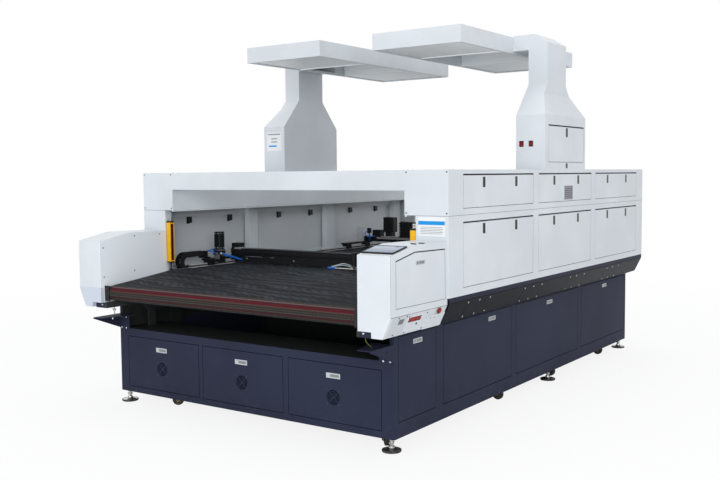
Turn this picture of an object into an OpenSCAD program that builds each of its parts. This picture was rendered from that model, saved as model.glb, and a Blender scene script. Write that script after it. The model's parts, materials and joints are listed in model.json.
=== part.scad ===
// Fabric laser cutting machine with a conveyor bed, two laser gantries,
// an enclosed cutting tunnel and a pair of exhaust towers with canopies.
// Units are millimetres. The front, where the belt nose stands out, faces -Y.
// The origin is on the floor under the middle of the machine.

/* [Overall] */
// Overall width across the enclosure
machine_w = 2430; // [2000:10:3000]
// Overall length from bracket tips to the rear wall
machine_l = 3850; // [3000:10:5000]
// Overall height to the top of the towers
machine_h = 2430; // [2100:10:2800]
// Part to show, or all

/* [Base cabinet] */
// Width of the base cabinet
base_w = 2158; // [1800:2:2300]
// Distance from the floor to the lower edge of the base
base_z = 72; // [50:1:150]
// Height of the front wall's top edge
base_front_top = 493; // [400:1:560]
// Thickness of the folded base walls
base_wall = 25; // [15:1:40]
// Depth of the removable panels
panel_depth = 18; // [8:1:22]
// Gap round each removable panel
panel_gap = 4; // [2:0.5:8]
// Diameter of each fan guard
fan_d = 92; // [60:2:140]

/* [Levelling feet and casters] */
// Diameter of a levelling foot
foot_d = 107; // [80:1:140]
// Stem diameter of a levelling foot
stem_d = 18; // [12:1:30]
// Caster wheel diameter
wheel_d = 75; // [50:1:90]
// Caster wheel width
wheel_w = 28; // [20:1:36]
// Distance from swivel axis to wheel axis
trail = 24; // [10:1:30]
// Height of the wheels above the floor while the machine stands on its feet
wheel_clear = 4; // [1:0.5:10]

/* [Enclosure] */
// Height of the enclosure's lower edge
enc_bottom = 802; // [760:1:840]
// Height of the seam between lower covers and upper boxes
enc_seam = 1256; // [1200:1:1300]
// Height of the enclosure's top
enc_top = 1511; // [1450:1:1600]
// Half width of the open top between the upper boxes
enc_in = 930; // [860:1:980]
// Half width of the tunnel mouth below the seam
enc_mouth = 1005; // [960:1:1040]
// Sheet thickness of covers
sheet = 4; // [2:0.5:6]
// Thickness of a door with its folded edges
door_t = 20; // [12:1:30]
// Gap at the sides of a door
door_gap = 3; // [1:0.5:6]
// Finger gap along a door's top edge
door_top_gap = 9; // [4:1:20]
// Height of a latch
latch_h = 50; // [30:1:80]
// Width of a latch
latch_w = 12; // [8:1:24]

/* [Consoles] */
// Inner face of the consoles from the middle
con_in = 1000; // [980:1:1020]
// Height of the front edge of the console top
con_front_z = 1079; // [1000:1:1120]
// Height of the console top at the enclosure
con_back_z = 1118; // [1100:1:1200]
// Stroke of the stop button
stop_stroke = 4; // [3:0.5:5]

/* [Exhaust towers] */
// Length of a tower along the machine
tower_l = 700; // [500:10:900]
// Middle of the towers along the machine
tower_y = 282; // [0:1:500]
// Height where a tower's shoulders start
tower_shoulder = 1873; // [1700:1:2000]
// Length of the tower neck along the machine
neck_l = 314; // [200:2:400]

/* [Canopies] */
// Length of a canopy along the machine
canopy_l = 1800; // [1200:10:2200]
// Half gap between the two canopies
canopy_in = 220; // [100:5:400]
// Outer edge of a canopy from the middle
canopy_out = 890; // [800:5:960]
// Lower edge of a canopy
canopy_z = 2310; // [2250:1:2380]

/* [Conveyor] */
// Belt width
belt_w = 1910; // [1500:10:1940]
// Height of the belt top inside the machine
belt_z = 846; // [800:1:900]
// Belt thickness
belt_t = 6; // [3:0.5:10]
// Diameter over the belt at the nose
nose_d = 100; // [70:1:140]
// Nose roller position along the machine
nose_y = -1841; // [-1870:1:-1780]
// Nose roller height
nose_z = 745; // [720:1:780]

/* [Gantries] */
// Front face of the front gantry beam
g1_y = -655; // [-900:1:-300]
// Front face of the rear gantry beam
g2_y = 1060; // [800:1:1400]
// Depth of a gantry beam
beam_d = 80; // [60:1:120]
// Links in the cable chain's straight upper run
chain_up_links = 6; // [4:1:12]

/* [Hidden] */

// half sizes
mw = machine_w / 2;
bw = base_w / 2;
// hairline between plates that are bolted together
hair = 0.02;
y_back = machine_l / 2;
y_tip = -machine_l / 2;
// cabinet
base_front = -1705;
side_low_top = 645;
side_top = 802;
enc_y0 = -1354;
enc_y1 = 1918;
floor_z = 104;
in_w = bw - base_wall - hair;
front_bays = [[-1001, -364], [-325, 312], [357, 997]];
front_bay_z = [114, 440];
rear_bays = [[-997, -357], [-318, 318], [357, 997]];
rear_bay_top = 640;
fan_x = [-690, -7, 676];
side_bays = [[-1658, -1265], [-1176, -283], [-215, 857], [928, 1887]];
side_bay_z = [160, 621];
// feet and casters: x, y of the stem, then swivel x, y and the heading of each wheel
feet = [for (s = [-1, 1]) for (y = [-1671, 395, 1868]) [s * 1040, y]];
casters = [[950, -1590, -45], [985, -340, 0], [985, 509, 0], [985, 1472, 0],
  [-680, -1612, 40], [-985, -340, 180], [-985, 509, 180], [-985, 1472, 180]];
// doors
door_y = [[-1186, -255], [-166, 756], [846, 1759]];
low_z = [848, 1209];
up_z = [1295, 1478];
latch_at = 250;
post_y = [[-347, -248], [654, 766], [1742, 1853]];
tower_door_y = [-13, 599];
tower_door_z = [1562, 1800];
// tower outlines
t_in = 1005;
neck_out = 1145;
neck_shoulder = 2090;
side_shoulder = 2020;
neck_seam = 2325;
// console outlines
con_y0 = -1922;
con_break = -1690;
con_break_z = 1122.5;
con_out = 1205;
con_bottom = 655;
con_slope_x = 1152;
con_slope_z = 768;
// place of the stop button up the sloped lower face
stop_at = 104.5;
stop_y = -1439;
// angle of the sloped lower face of a console
slope_a = atan2(con_slope_z - con_bottom, con_out - con_slope_x);
// conveyor
nose_r = nose_d / 2;
roller_gap = 0.4;
rear_y = 1838;
rear_z = belt_z - nose_r;
break_y = -1390;
rail_x = 1030;
rail_z = 860;
head_rail_z = 915;
// cable chain
ch_x = -1084;
ch_w = 50;
ch_r = 50;
ch_t = 26;
ch_low = 821.2;
ch_front = -1100;
ch_pitch = 27;

navy = [0.204, 0.204, 0.275];
white = [0.83, 0.85, 0.87];
dark = [0.22, 0.22, 0.235];
black = [0.06, 0.06, 0.065];
zinc = [0.72, 0.72, 0.70];
yellow = [0.96, 0.72, 0.12];
zinc_yellow = [0.72, 0.62, 0.28];
red = [0.75, 0.08, 0.07];
charcoal = [0.17, 0.185, 0.2];
grey = [0.6, 0.62, 0.64];

// box given by its limits
module box(x0, x1, y0, y1, z0, z1) {
  translate([min(x0, x1), min(y0, y1), min(z0, z1)]) cube([abs(x1 - x0), abs(y1 - y0), abs(z1 - z0)]);
}
// outline in y and z drawn out along x
module along_x(x0, x1) { translate([x0, 0, 0]) rotate([90, 0, 90]) linear_extrude(x1 - x0) children(); }
// outline in x and z drawn out along y
module along_y(y0, y1) { translate([0, y1, 0]) rotate([90, 0, 0]) linear_extrude(y1 - y0) children(); }
// both sides of the machine
module both() { children(); mirror([1, 0, 0]) children(); }
module side(s) { if (s > 0) children(); else mirror([1, 0, 0]) children(); }

function arc(c, r, a0, a1, n) = [for (i = [0:n]) c + r * [cos(a0 + (a1 - a0) * i / n), sin(a0 + (a1 - a0) * i / n)]];

// ---------- base cabinet ----------
module side_wall() {
  difference() {
    along_x(bw - base_wall, bw) polygon([[base_front, base_z], [y_back, base_z], [y_back, side_top],
      [enc_y0 + 6, side_top], [enc_y0 + 6, side_low_top], [base_front, side_low_top]]);
    for (b = side_bays) {
      box(bw - panel_depth, bw + 1, b[0] - panel_gap, b[1] + panel_gap, side_bay_z[0] - panel_gap, side_bay_z[1] + panel_gap);
      box(bw - base_wall - 1, bw + 1, b[0] + 14, b[1] - 14, side_bay_z[0] + 14, side_bay_z[1] - 14);
    }
  }
}
// end wall between the side walls, with bays stepped so that each panel seats on a rim
module end_wall(y0, outer, top, bays, bay_top) {
  difference() {
    box(-in_w, in_w, y0, y0 + base_wall, base_z, top);
    for (b = bays) {
      box(b[0] - panel_gap, b[1] + panel_gap, outer < 0 ? y0 - 1 : y0 + base_wall - panel_depth, outer < 0 ? y0 + panel_depth : y0 + base_wall + 1, front_bay_z[0] - panel_gap, bay_top + panel_gap);
      box(b[0] + 14, b[1] - 14, y0 - 1, y0 + base_wall + 1, front_bay_z[0] + 14, bay_top - 14);
    }
    foot_bores();
  }
}
module foot_bores() {
  for (f = feet) translate([f[0], f[1], base_z - 1]) cylinder(d = stem_d + 0.6, h = floor_z - base_z - 3, $fn = 32);
}
module base_frame() color(navy) {
  both() side_wall();
  end_wall(base_front, -1, base_front_top, front_bays, front_bay_z[1]);
  end_wall(y_back - base_wall, 1, side_top, rear_bays, rear_bay_top);
  // floor pan, the deck behind the front wall and two cross members
  box(-in_w, in_w, base_front + base_wall + hair, y_back - base_wall - hair, floor_z, floor_z + 6);
  box(-in_w, in_w, base_front + base_wall + hair, -1400, base_front_top - 4, base_front_top);
  for (y = [-250, 860]) box(-in_w, in_w, y, y + 32, floor_z + 6 + hair, 590);
  // blocks that take the stems of the levelling feet
  difference() {
    for (f = feet) side(f[0]) box(1012, in_w, max(f[1] - 30, base_front + base_wall + hair), f[1] + 30, base_z, floor_z - hair);
    foot_bores();
  }
  // corner brackets that carry the front of the consoles
  both() {
    difference() {
      along_x(bw - 4, bw) polygon([[base_front - 0.01, 492], [base_front - 0.01, 587], [y_tip, 587], [y_tip, 578]]);
      translate([bw - 5, -1770, 560]) rotate([0, 90, 0]) cylinder(d = 12, h = 6, $fn = 24);
    }
    translate([0, 0, 583]) linear_extrude(4) polygon([[bw - 4, base_front - 0.01], [bw - 150, base_front - 0.01], [995, y_tip + 25], [995, y_tip], [bw - 4, y_tip]]);
    // bolted foot of the bracket on the front wall
    box(bw - 92, bw - 4, base_front - 4, base_front - 0.01, 480, 583);
  }
}

// finger guard: a pressed disc with ring slots and four spokes
module fan_guard() linear_extrude(2) difference() {
  circle(r = fan_d / 2 + 7, $fn = 48);
  difference() {
    for (r = [14, 23, 32, 41]) difference() {
      circle(r = r, $fn = 48);
      circle(r = r - 5, $fn = 48);
    }
    for (a = [45, 135]) rotate(a) square([2 * fan_d, 4], center = true);
  }
}
// a removable panel: face sheet with folded edges, open at the back
module tray(w, h, d, t) {
  difference() {
    cube([w, h, d]);
    translate([t, t, -1]) cube([w - 2 * t, h - 2 * t, d - t + 1]);
  }
}
module base_panels() color(navy) {
  for (i = [0:2]) {
    b = front_bays[i];
    difference() {
      translate([b[0], base_front + panel_depth, front_bay_z[0]]) rotate([90, 0, 0]) tray(b[1] - b[0], front_bay_z[1] - front_bay_z[0], panel_depth, 3);
      translate([fan_x[i], base_front - 1, 252]) rotate([-90, 0, 0]) cylinder(d = fan_d, h = 8, $fn = 40);
    }
    translate([fan_x[i], base_front + 5, 252]) rotate([90, 0, 0]) fan_guard();
  }
  for (b = rear_bays)
    translate([b[0], y_back - panel_depth, rear_bay_top]) rotate([-90, 0, 0]) tray(b[1] - b[0], rear_bay_top - front_bay_z[0], panel_depth, 3);
  both() for (b = side_bays)
    translate([bw - panel_depth, b[0], side_bay_z[0]]) rotate([90, 0, 90]) tray(b[1] - b[0], side_bay_z[1] - side_bay_z[0], panel_depth, 3);
}

// ---------- levelling feet ----------
module levelling_feet() color(zinc) for (f = feet) translate([f[0], f[1], 0]) {
  // pressed cone, collar and stem
  rotate_extrude($fn = 48) polygon([[0, 8], [foot_d / 2 - 4, 8], [foot_d / 2 - 5, 11], [20, 21], [17, 22], [16, 30], [stem_d / 2, 32], [stem_d / 2, 98], [0, 98]]);
  // hex nut and locknut
  difference() {
    translate([0, 0, 41]) cylinder(r = 16, h = 12, $fn = 6);
    translate([0, 0, 40]) cylinder(d = stem_d - 0.5, h = 14, $fn = 24);
  }
  difference() {
    translate([0, 0, base_z - 10]) rotate(20) cylinder(r = 16, h = 10, $fn = 6);
    translate([0, 0, base_z - 11]) cylinder(d = stem_d - 0.5, h = 14, $fn = 24);
  }
}
module foot_rubbers() color(black) for (f = feet) translate([f[0], f[1], 0])
  rotate_extrude($fn = 48) polygon([[0, 0], [foot_d / 2 - 2, 0], [foot_d / 2, 3], [foot_d / 2, 11], [foot_d / 2 - 3, 12.5], [foot_d / 2 - 4.2, 11.5], [foot_d / 2 - 3.8, 8], [0, 8]]);

// ---------- casters ----------
wheel_r = wheel_d / 2;
axle_z = wheel_clear + wheel_r;
crown_z = axle_z + wheel_r + 4;
module caster_plates() color(zinc_yellow) for (c = casters) translate([c[0], c[1], 0]) {
  difference() {
    translate([-42, -36, floor_z - 4]) cube([84, 72, 4]);
    for (x = [-33, 33]) for (y = [-27, 27]) translate([x, y, floor_z - 5]) cylinder(d = 8.5, h = 6, $fn = 20);
  }
  // upper race of the swivel
  translate([0, 0, crown_z + 8.4]) cylinder(r1 = 24, r2 = 28, h = floor_z - 4 - crown_z - 8.4, $fn = 40);
}
module fork(i) color(zinc_yellow) {
  c = casters[i];
  translate([c[0], c[1], 0]) rotate(c[2]) {
    difference() {
      union() {
        // lower race and crown plate
        translate([0, 0, crown_z]) cylinder(r = 25, h = 8, $fn = 40);
        translate([-26, -21, crown_z]) cube([52, 42, 4]);
        // two cheeks from the crown down to the axle
        for (s = [-1, 1]) translate([0, s * 19.5 + 1.5, 0]) rotate([90, 0, 0]) linear_extrude(3)
          polygon([[-26, crown_z + 3], [26, crown_z + 3], [trail + 11, axle_z + 8], [trail + 11, axle_z - 7], [trail + 5, axle_z - 12], [trail - 8, axle_z - 11], [trail - 11, axle_z - 2]]);
      }
      translate([trail, -30, axle_z]) rotate([-90, 0, 0]) cylinder(d = 10.6, h = 60, $fn = 24);
    }
    // brake pedal on the far side of the wheel
    color(black) translate([0, 0, 0]) rotate([90, 0, 0]) translate([0, 0, -11]) linear_extrude(22)
      polygon([[-26, crown_z - 1], [-52, crown_z - 16], [-50, crown_z - 20], [-22, crown_z - 4]]);
    color(black) translate([-27, -11, crown_z - 5]) cube([6, 22, 5]);
  }
}
module wheel(i) {
  c = casters[i];
  translate([c[0], c[1], 0]) rotate(c[2]) translate([trail, 0, axle_z]) rotate([90, 0, 0]) {
    color(black) difference() {
      rotate_extrude($fn = 48) polygon([[7, -wheel_w / 2], [wheel_r - 10, -wheel_w / 2 + 1], [wheel_r - 8, -wheel_w / 2 + 0.5], [wheel_r - 2, -wheel_w / 2 + 2], [wheel_r, -wheel_w / 2 + 6], [wheel_r, wheel_w / 2 - 6], [wheel_r - 2, wheel_w / 2 - 2], [wheel_r - 8, wheel_w / 2 - 0.5], [wheel_r - 10, wheel_w / 2 - 1], [7, wheel_w / 2]]);
    }
    // axle bolt with its head and nut
    color(zinc) {
      translate([0, 0, -27]) cylinder(d = 10, h = 54, $fn = 24);
      translate([0, 0, 21.6]) cylinder(r = 8.5, h = 5, $fn = 6);
      translate([0, 0, -26.6]) cylinder(r = 8.5, h = 5, $fn = 6);
      cylinder(r = 7.2, h = wheel_w, $fn = 24, center = true);
    }
  }
}

// ---------- skirt ----------
skirt_pts = [[mw, enc_bottom], [mw - 2, 773], [1158, 660], [bw, 630]];
module skirt_side() {
  difference() {
    along_y(enc_y0 + 6, enc_y1 - 3) polygon(concat(skirt_pts, [[bw, 633.2], [1156, 663], [mw - 5, 774], [mw - 3, enc_bottom]]));
    box(1157 - hair, 1157, enc_y0, enc_y1, 620, 680);
    box(1200, mw + 1, enc_y0, enc_y1, 773.5, 773.5 + hair);
  }
  // cover plates laid on the slope end to end
  for (p = skirt_laps) translate([1158, 0, 660]) rotate([0, -skirt_a, 0]) translate([2, 0, -2.2]) linear_extrude(2)
    polygon([[0, p[0] + 1.5], [skirt_len - 4, p[0] + 1.5], [skirt_len - 4, p[1] - 1.5], [0, p[1] - 1.5]]);
  // closing gusset at the back end
  along_y(enc_y1 - 3, enc_y1) polygon(concat(skirt_pts, [[bw, enc_bottom]]));
}
skirt_a = atan2(773 - 660, mw - 2 - 1158);
skirt_len = norm([mw - 2 - 1158, 773 - 660]);
skirt_laps = [[-1346, -1124], [-1124, -365], [-365, 382], [382, 1112], [1112, 1912]];
module skirt_plates() color(dark) both() skirt_side();

// ---------- enclosure ----------
module door_opening(y, z, x1) {
  box(x1 - 60, x1 + 1, y[0] - door_gap, y[1] + door_gap, z[0] - door_gap, z[1] + door_top_gap);
}
// frame of folded strips behind a door opening, on which the door closes
module jamb(y, z, x1) {
  difference() {
    box(x1 - door_t - 4, x1 - door_t - 1, y[0] - 20, y[1] + 20, z[0] - 20, z[1] + 26);
    box(x1 - door_t - 5, x1 - door_t, y[0] + 14, y[1] - 14, z[0] + 14, z[1] - 12);
  }
  difference() {
    box(x1 - door_t - 3, x1 - 1, y[0] - 20, y[1] + 20, z[0] - 20, z[1] + 26);
    box(x1 - door_t - 5, x1, y[0] - door_gap - 2, y[1] + door_gap + 2, z[0] - door_gap - 2, z[1] + door_top_gap + 2);
  }
}
module enclosure() {
  difference() {
    union() {
      // outer skin, roof, inner wall and floor of the upper box, lower flange
      along_y(enc_y0, enc_y1) polygon([[enc_in, enc_seam], [enc_in, enc_top], [mw, enc_top], [mw, enc_bottom], [bw - 20, enc_bottom],
        [bw - 20, enc_bottom + sheet], [mw - sheet, enc_bottom + sheet], [mw - sheet, enc_top - sheet], [enc_in + sheet, enc_top - sheet], [enc_in + sheet, enc_seam]]);
      along_y(enc_y0, enc_y1) polygon([[enc_in, enc_seam], [mw - 1, enc_seam], [mw - 1, enc_seam + sheet], [enc_in, enc_seam + sheet]]);
      // front and rear covers
      for (y = [enc_y0, enc_y1 - sheet]) {
        box(enc_in, mw, y, y + sheet, enc_seam, enc_top);
        box(enc_mouth, mw, y, y + sheet, enc_bottom, enc_seam + 1);
      }
      box(enc_mouth, enc_mouth + 3, enc_y0, enc_y0 + 22, 838, enc_seam + 1);
      box(enc_mouth, enc_mouth + 3, enc_y1 - 22, enc_y1, 838, enc_seam + 1);
    }
    for (y = door_y) { door_opening(y, low_z, mw); door_opening(y, up_z, mw); }
    // the seam shows as a fine groove round the outside
    box(mw - 1.2, mw + 1, enc_y0 - 1, enc_y1 + 1, enc_seam - 1.5, enc_seam);
    box(enc_in - 1, mw + 1, enc_y0 - 1, enc_y0 + 1.2, enc_seam - 1.5, enc_seam);
  }
  difference() {
    union() for (y = door_y) { jamb(y, low_z, mw - 0.01); jamb(y, up_z, mw - 0.01); }
    box(enc_in, mw, enc_y0, enc_y1, enc_seam - 0.5, enc_seam + sheet + 0.5);
  }
  // posts between the lower bays, each on a small bolted foot
  for (y = post_y) {
    box(1140, 1188, y[0], y[1], enc_bottom + sheet + 40, enc_seam);
    box(1128, 1189, y[0] - 8, y[1] + 8, enc_bottom + sheet, enc_bottom + sheet + 40);
  }
  box(enc_mouth + 3, 1060, enc_y0 + sheet, enc_y0 + 60, enc_seam - 60, enc_seam);
  // header of the lower bays under the upper box
  box(mw - 32, mw - 26, enc_y0 + sheet, enc_y1 - sheet, enc_seam - 63, enc_seam);
  // folded lip along the inner edge of the upper box
  box(enc_in, enc_in + 12, enc_y0 + sheet, enc_y1 - sheet, enc_seam - 8, enc_seam);
}
module left_enclosure() color(white) side(-1) enclosure();
module right_enclosure() color(white) side(1) enclosure();

module cross_beams() color(white) {
  // channel sections over the mouth at the front and at the rear
  for (e = [[enc_y0, 60], [enc_y1 - 60, 60]]) difference() {
    box(-enc_in, enc_in, e[0], e[0] + e[1], 1396, enc_top);
    box(-enc_in - 1, enc_in + 1, e[0] + (e[0] < 0 ? 3 : -1), e[0] + e[1] + (e[0] < 0 ? 1 : -3), 1399, enc_top - 3);
  }
}

// ---------- doors ----------
// a bottom-hinged door with folded edges and two flush latches
module door(y, z) {
  w = y[1] - y[0];
  h = z[1] - z[0];
  lz = z[1] - 15 - latch_h;
  ly = [y[0] + latch_at, y[1] - latch_at];
  difference() {
    translate([mw - door_t + 0.5, y[0], z[0]]) rotate([90, 0, 90]) tray(w, h, door_t - 0.5, 3);
    for (l = ly) box(mw - 8, mw + 1, l - latch_w / 2, l + latch_w / 2, lz, lz + latch_h);
  }
  color(black) for (l = ly) {
    box(mw - 14, mw - 0.4, l - latch_w / 2 + 0.2, l + latch_w / 2 - 0.2, lz + 0.2, lz + latch_h - 0.2);
    // latch body and tongue inside the door
    box(mw - 23, mw - 14, l - 20, l + 20, lz + 2, lz + latch_h - 4);
  }
}
module right_lower_door_1() color(white) side(1) door(door_y[0], low_z);
module right_lower_door_2() color(white) side(1) door(door_y[1], low_z);
module right_lower_door_3() color(white) side(1) door(door_y[2], low_z);
module right_upper_door_1() color(white) side(1) door(door_y[0], up_z);
module right_upper_door_2() color(white) side(1) door(door_y[1], up_z);
module right_upper_door_3() color(white) side(1) door(door_y[2], up_z);
module left_lower_door_1() color(white) side(-1) door(door_y[0], low_z);
module left_lower_door_2() color(white) side(-1) door(door_y[1], low_z);
module left_lower_door_3() color(white) side(-1) door(door_y[2], low_z);
module left_upper_door_1() color(white) side(-1) door(door_y[0], up_z);
module left_upper_door_2() color(white) side(-1) door(door_y[1], up_z);
module left_upper_door_3() color(white) side(-1) door(door_y[2], up_z);

// ---------- towers ----------
ty0 = tower_y - tower_l / 2;
ty1 = tower_y + tower_l / 2;
ny0 = tower_y - neck_l / 2;
ny1 = tower_y + neck_l / 2;
// the tower's body is where its side outline and its front outline meet, drawn in by k all round
module tower_form(k) {
  intersection() {
    along_x(t_in - 60, mw + 10) polygon([[ty0 + k, enc_top + k], [ty1 - k, enc_top + k], [ty1 - k, tower_shoulder - k / 3],
      [ny1 - k, neck_shoulder - k / 3], [ny1 - k, neck_seam + 20], [ny0 + k, neck_seam + 20], [ny0 + k, neck_shoulder - k / 3], [ty0 + k, tower_shoulder - k / 3]]);
    along_y(ty0 - 10, ty1 + 10) polygon([[t_in + k, enc_top + k], [mw - k, enc_top + k], [mw - k, tower_shoulder - k / 3],
      [neck_out - k, side_shoulder - k / 3], [neck_out - k, neck_seam + (k > 0 ? 20 : 0)], [t_in + k, neck_seam + (k > 0 ? 20 : 0)]]);
  }
}
module elbow(k) {
  along_y(ny0 + k, ny1 - k) polygon([[t_in + k, neck_seam + (k > 0 ? -20 : 0)], [neck_out - k, neck_seam + (k > 0 ? -20 : 0)], [neck_out - k, 2370 - k / 2], [1050 - k / 2, machine_h - k],
    [canopy_out - (k > 0 ? 1 : 0), machine_h - k], [canopy_out - (k > 0 ? 1 : 0), neck_seam + k], [t_in + k, neck_seam + k]]);
}
// sill, posts and header round the tower door meet at hairlines
module tower_splits(x0) {
  for (z = [tower_door_z[0] + 14, tower_door_z[1] - 12 + hair]) box(x0, mw + 5, ty0 - 5, ty1 + 5, z - hair, z);
}
module tower(switches) {
  difference() {
    union() { tower_form(0); elbow(0); }
    tower_form(sheet);
    elbow(sheet);
    door_opening(tower_door_y, tower_door_z, mw);
    // seam at the top of the neck
    difference() {
      box(t_in - 1, neck_out + 1, ny0 - 1, ny1 + 1, 2348, 2350);
      box(t_in + 1, neck_out - 1, ny0 + 1, ny1 - 1, 2340, 2360);
    }
    // folded sheets meet at hairlines
    for (z = [enc_top + sheet, tower_shoulder - 1.5, neck_shoulder, neck_seam + 0.5]) box(t_in - 5, mw + 5, ty0 - 5, ty1 + 5, z - hair, z);
    box(t_in + sheet, t_in + sheet + hair, ty0 - 5, ty1 + 5, enc_top - 1, neck_seam);
    box(mw - sheet - hair, mw - sheet, ty0 - 5, ty1 + 5, enc_top - 1, tower_shoulder);
    tower_splits(mw - sheet - hair);
    box(neck_out - sheet - hair, neck_out - sheet, ty0 - 5, ty1 + 5, neck_shoulder, neck_seam);
    box(mw - 8, mw + 1, 288, 300, 1519, 1557);
    // cut-outs for the two rocker switches
    if (switches) for (x = [1045, 1113]) box(x - 11.5, x + 11.5, ty0 - 1, ty0 + 5, 1683 - 14.5, 1683 + 14.5);
  }
  difference() {
    jamb(tower_door_y, tower_door_z, mw - 0.01);
    box(mw - 14.6, mw + 1, 288, 300, 1519, 1557);
    tower_splits(mw - 30);
  }
}
// latch of the cover under the tower door
module low_latch() color(black) box(mw - 14, mw - 0.4, 288.2, 299.8, 1519.2, 1556.8);
module rocker_frame(x) {
  difference() {
    box(x - 15, x + 15, ty0 - 3, ty0 + 12, 1683 - 19, 1683 + 19);
    box(x - 11, x + 11, ty0 - 4, ty0 + 10, 1683 - 14, 1683 + 14);
    box(x - 16, x - 11.4, ty0, ty0 + 13, 1683 - 20, 1683 + 20);
    box(x + 11.4, x + 16, ty0, ty0 + 13, 1683 - 20, 1683 + 20);
    box(x - 16, x + 16, ty0, ty0 + 13, 1683 + 14.4, 1683 + 20);
    box(x - 16, x + 16, ty0, ty0 + 13, 1683 - 20, 1683 - 14.4);
  }
}
module left_tower() side(-1) { color(white) tower(false); low_latch(); }
module right_tower() { color(white) tower(true); low_latch(); color(black) for (x = [1045, 1113]) rocker_frame(x); }
module tower_door() {
  w = tower_door_y[1] - tower_door_y[0];
  h = tower_door_z[1] - tower_door_z[0];
  ly = (tower_door_y[0] + tower_door_y[1]) / 2;
  lz = tower_door_z[1] - 12 - latch_h;
  difference() {
    translate([mw - door_t + 0.5, tower_door_y[0], tower_door_z[0]]) rotate([90, 0, 90]) tray(w, h, door_t - 0.5, 3);
    box(mw - 8, mw + 1, ly - latch_w / 2, ly + latch_w / 2, lz, lz + latch_h);
  }
  color(black) {
    box(mw - 14, mw - 0.4, ly - latch_w / 2 + 0.2, ly + latch_w / 2 - 0.2, lz + 0.2, lz + latch_h - 0.2);
    box(mw - 19, mw - 14, ly - latch_w / 2 - 8, ly + latch_w / 2 + 8, lz - 4, lz + latch_h + 4);
  }
}
module right_tower_door() color(white) side(1) tower_door();
module left_tower_door() color(white) side(-1) tower_door();

module rocker(x) translate([x, ty0 + 3, 1683]) rotate([12, 0, 0]) along_x(-10.5, 10.5)
  polygon([[-7, -12.5], [-4.2, 0], [-7, 12.5], [1, 12.8], [5, 3], [5, -3], [1, -12.8]]);
module rocker_switch_1() color(red) rocker(1045);
module rocker_switch_2() color(red) rocker(1113);

// ---------- canopies ----------
module canopy() {
  cy0 = tower_y - canopy_l / 2;
  cy1 = tower_y + canopy_l / 2;
  difference() {
    box(canopy_in, canopy_out, cy0, cy1, canopy_z, machine_h - 10);
    // shallow recesses of the front and rear panels
    for (y = [[cy0 + 22, -22], [572, cy1 - 22]]) box(canopy_in + 22, canopy_out - 22, y[0], y[1], canopy_z - 1, canopy_z + 8);
    // the deeper suction recess in line with the neck
    box(canopy_in + 22, canopy_out - 22, -20, 570, canopy_z - 1, machine_h - 14);
    // air way into the tower's elbow
    box(canopy_out - 23, canopy_out + 1, ny0 + sheet, ny1 - sheet, neck_seam + sheet, machine_h - 14);
    // roof sheet, end boxes and side strips meet at hairlines
    box(canopy_in - 1, canopy_out + 1, cy0 - 1, cy1 + 1, machine_h - 14 - hair, machine_h - 14);
    for (y = [-20, 570 + hair]) box(canopy_in - 1, canopy_out + 1, y - hair, y, canopy_z - 1, machine_h - 14);
    box(canopy_out - 23, canopy_out + 1, -20, 570, neck_seam + sheet, neck_seam + sheet + hair);
  }
}
module left_canopy() color(white) side(-1) canopy();
module right_canopy() color(white) side(1) canopy();

// ---------- consoles ----------
module console(k) {
  difference() {
    intersection() {
      along_x(con_in, con_out) polygon([[con_y0, con_bottom], [enc_y0, con_bottom], [enc_y0, con_back_z], [con_break, con_break_z], [con_y0, con_front_z]]);
      along_y(con_y0 - 1, enc_y0 + 1) polygon([[con_in, con_bottom - 5], [con_slope_x - 5 * (con_out - con_slope_x) / (con_slope_z - con_bottom), con_bottom - 5], [con_out, con_slope_z], [con_out, con_back_z + 5], [con_in, con_back_z + 5]]);
    }
    // notch for the carrying arm of the conveyor frame
    box(con_in - 1, con_in + 84, con_y0 - 1, enc_y0 + 1, con_bottom - 10, 686);
  }
}
module left_console() color(white) {
  difference() {
    side(-1) console(0);
    // shallow framed recess in the top
    translate([0, -1520, 1120.2]) rotate([-0.77, 0, 0]) difference() {
      box(-1180, -1040, -140, 130, -1, 8);
      box(-1176, -1044, -136, 126, -2, 9);
    }
  }
}
// everything on the sloped lower face: x along the slope from its lower edge, y along the machine
module on_slope() { translate([con_slope_x, 0, con_bottom]) rotate([0, -slope_a, 0]) children(); }
module right_console() {
  color(white) difference() {
    union() {
      console(0);
      // raised display panel and the cover plate beside it
      on_slope() box(8, 113, -1745, -1552, -2.5, 1);
      on_slope() box(1, 84, -1545, -1357, -5.5, 1);
    }
    // recess of the touch screen in the sloping front of the top
    on_top() box(-88, 70, -72, 34, -16, 1);
    // two slots behind the screen
    for (p = [[1182, -1668], [1188, -1596]]) translate([p[0], p[1], con_back_z]) rotate([0, 0, 8]) cube([24, 6, 24], center = true);
    // groove round the service panel on the outer face
    along_x(con_out - 1.5, con_out + 1) difference() {
      polygon([[-1876, 1050], [-1690, 1085], [-1379, 1079], [-1373, 802], [-1876, 806]]);
      polygon([[-1873, 1047.5], [-1689.5, 1082], [-1382, 1076], [-1376, 805], [-1873, 809]]);
    }
    // bore of the stop button
    on_slope() translate([stop_at, stop_y, -1]) cylinder(d = 24.6, h = 32, $fn = 36);
    // window of the display, card slot and vent holes
    on_slope() {
      box(71, 100, -1734, -1608, -3, -1);
      box(70, 101, -1827, -1776, -1, 3);
      for (y = [-1502, -1461, -1420]) translate([66, y, -7]) cylinder(d = 8, h = 10, $fn = 24);
    }
  }
  // pilot lamp under the display
  color(black) on_slope() translate([53, -1637, -5]) cylinder(d = 12, h = 2.49, $fn = 32);
}
top_a = atan2(con_break_z - con_front_z, con_break - con_y0);
module on_top() { translate([1110, -1800, con_break_z - (con_break + 1800) * tan(top_a)]) rotate([top_a, 0, 0]) children(); }
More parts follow.
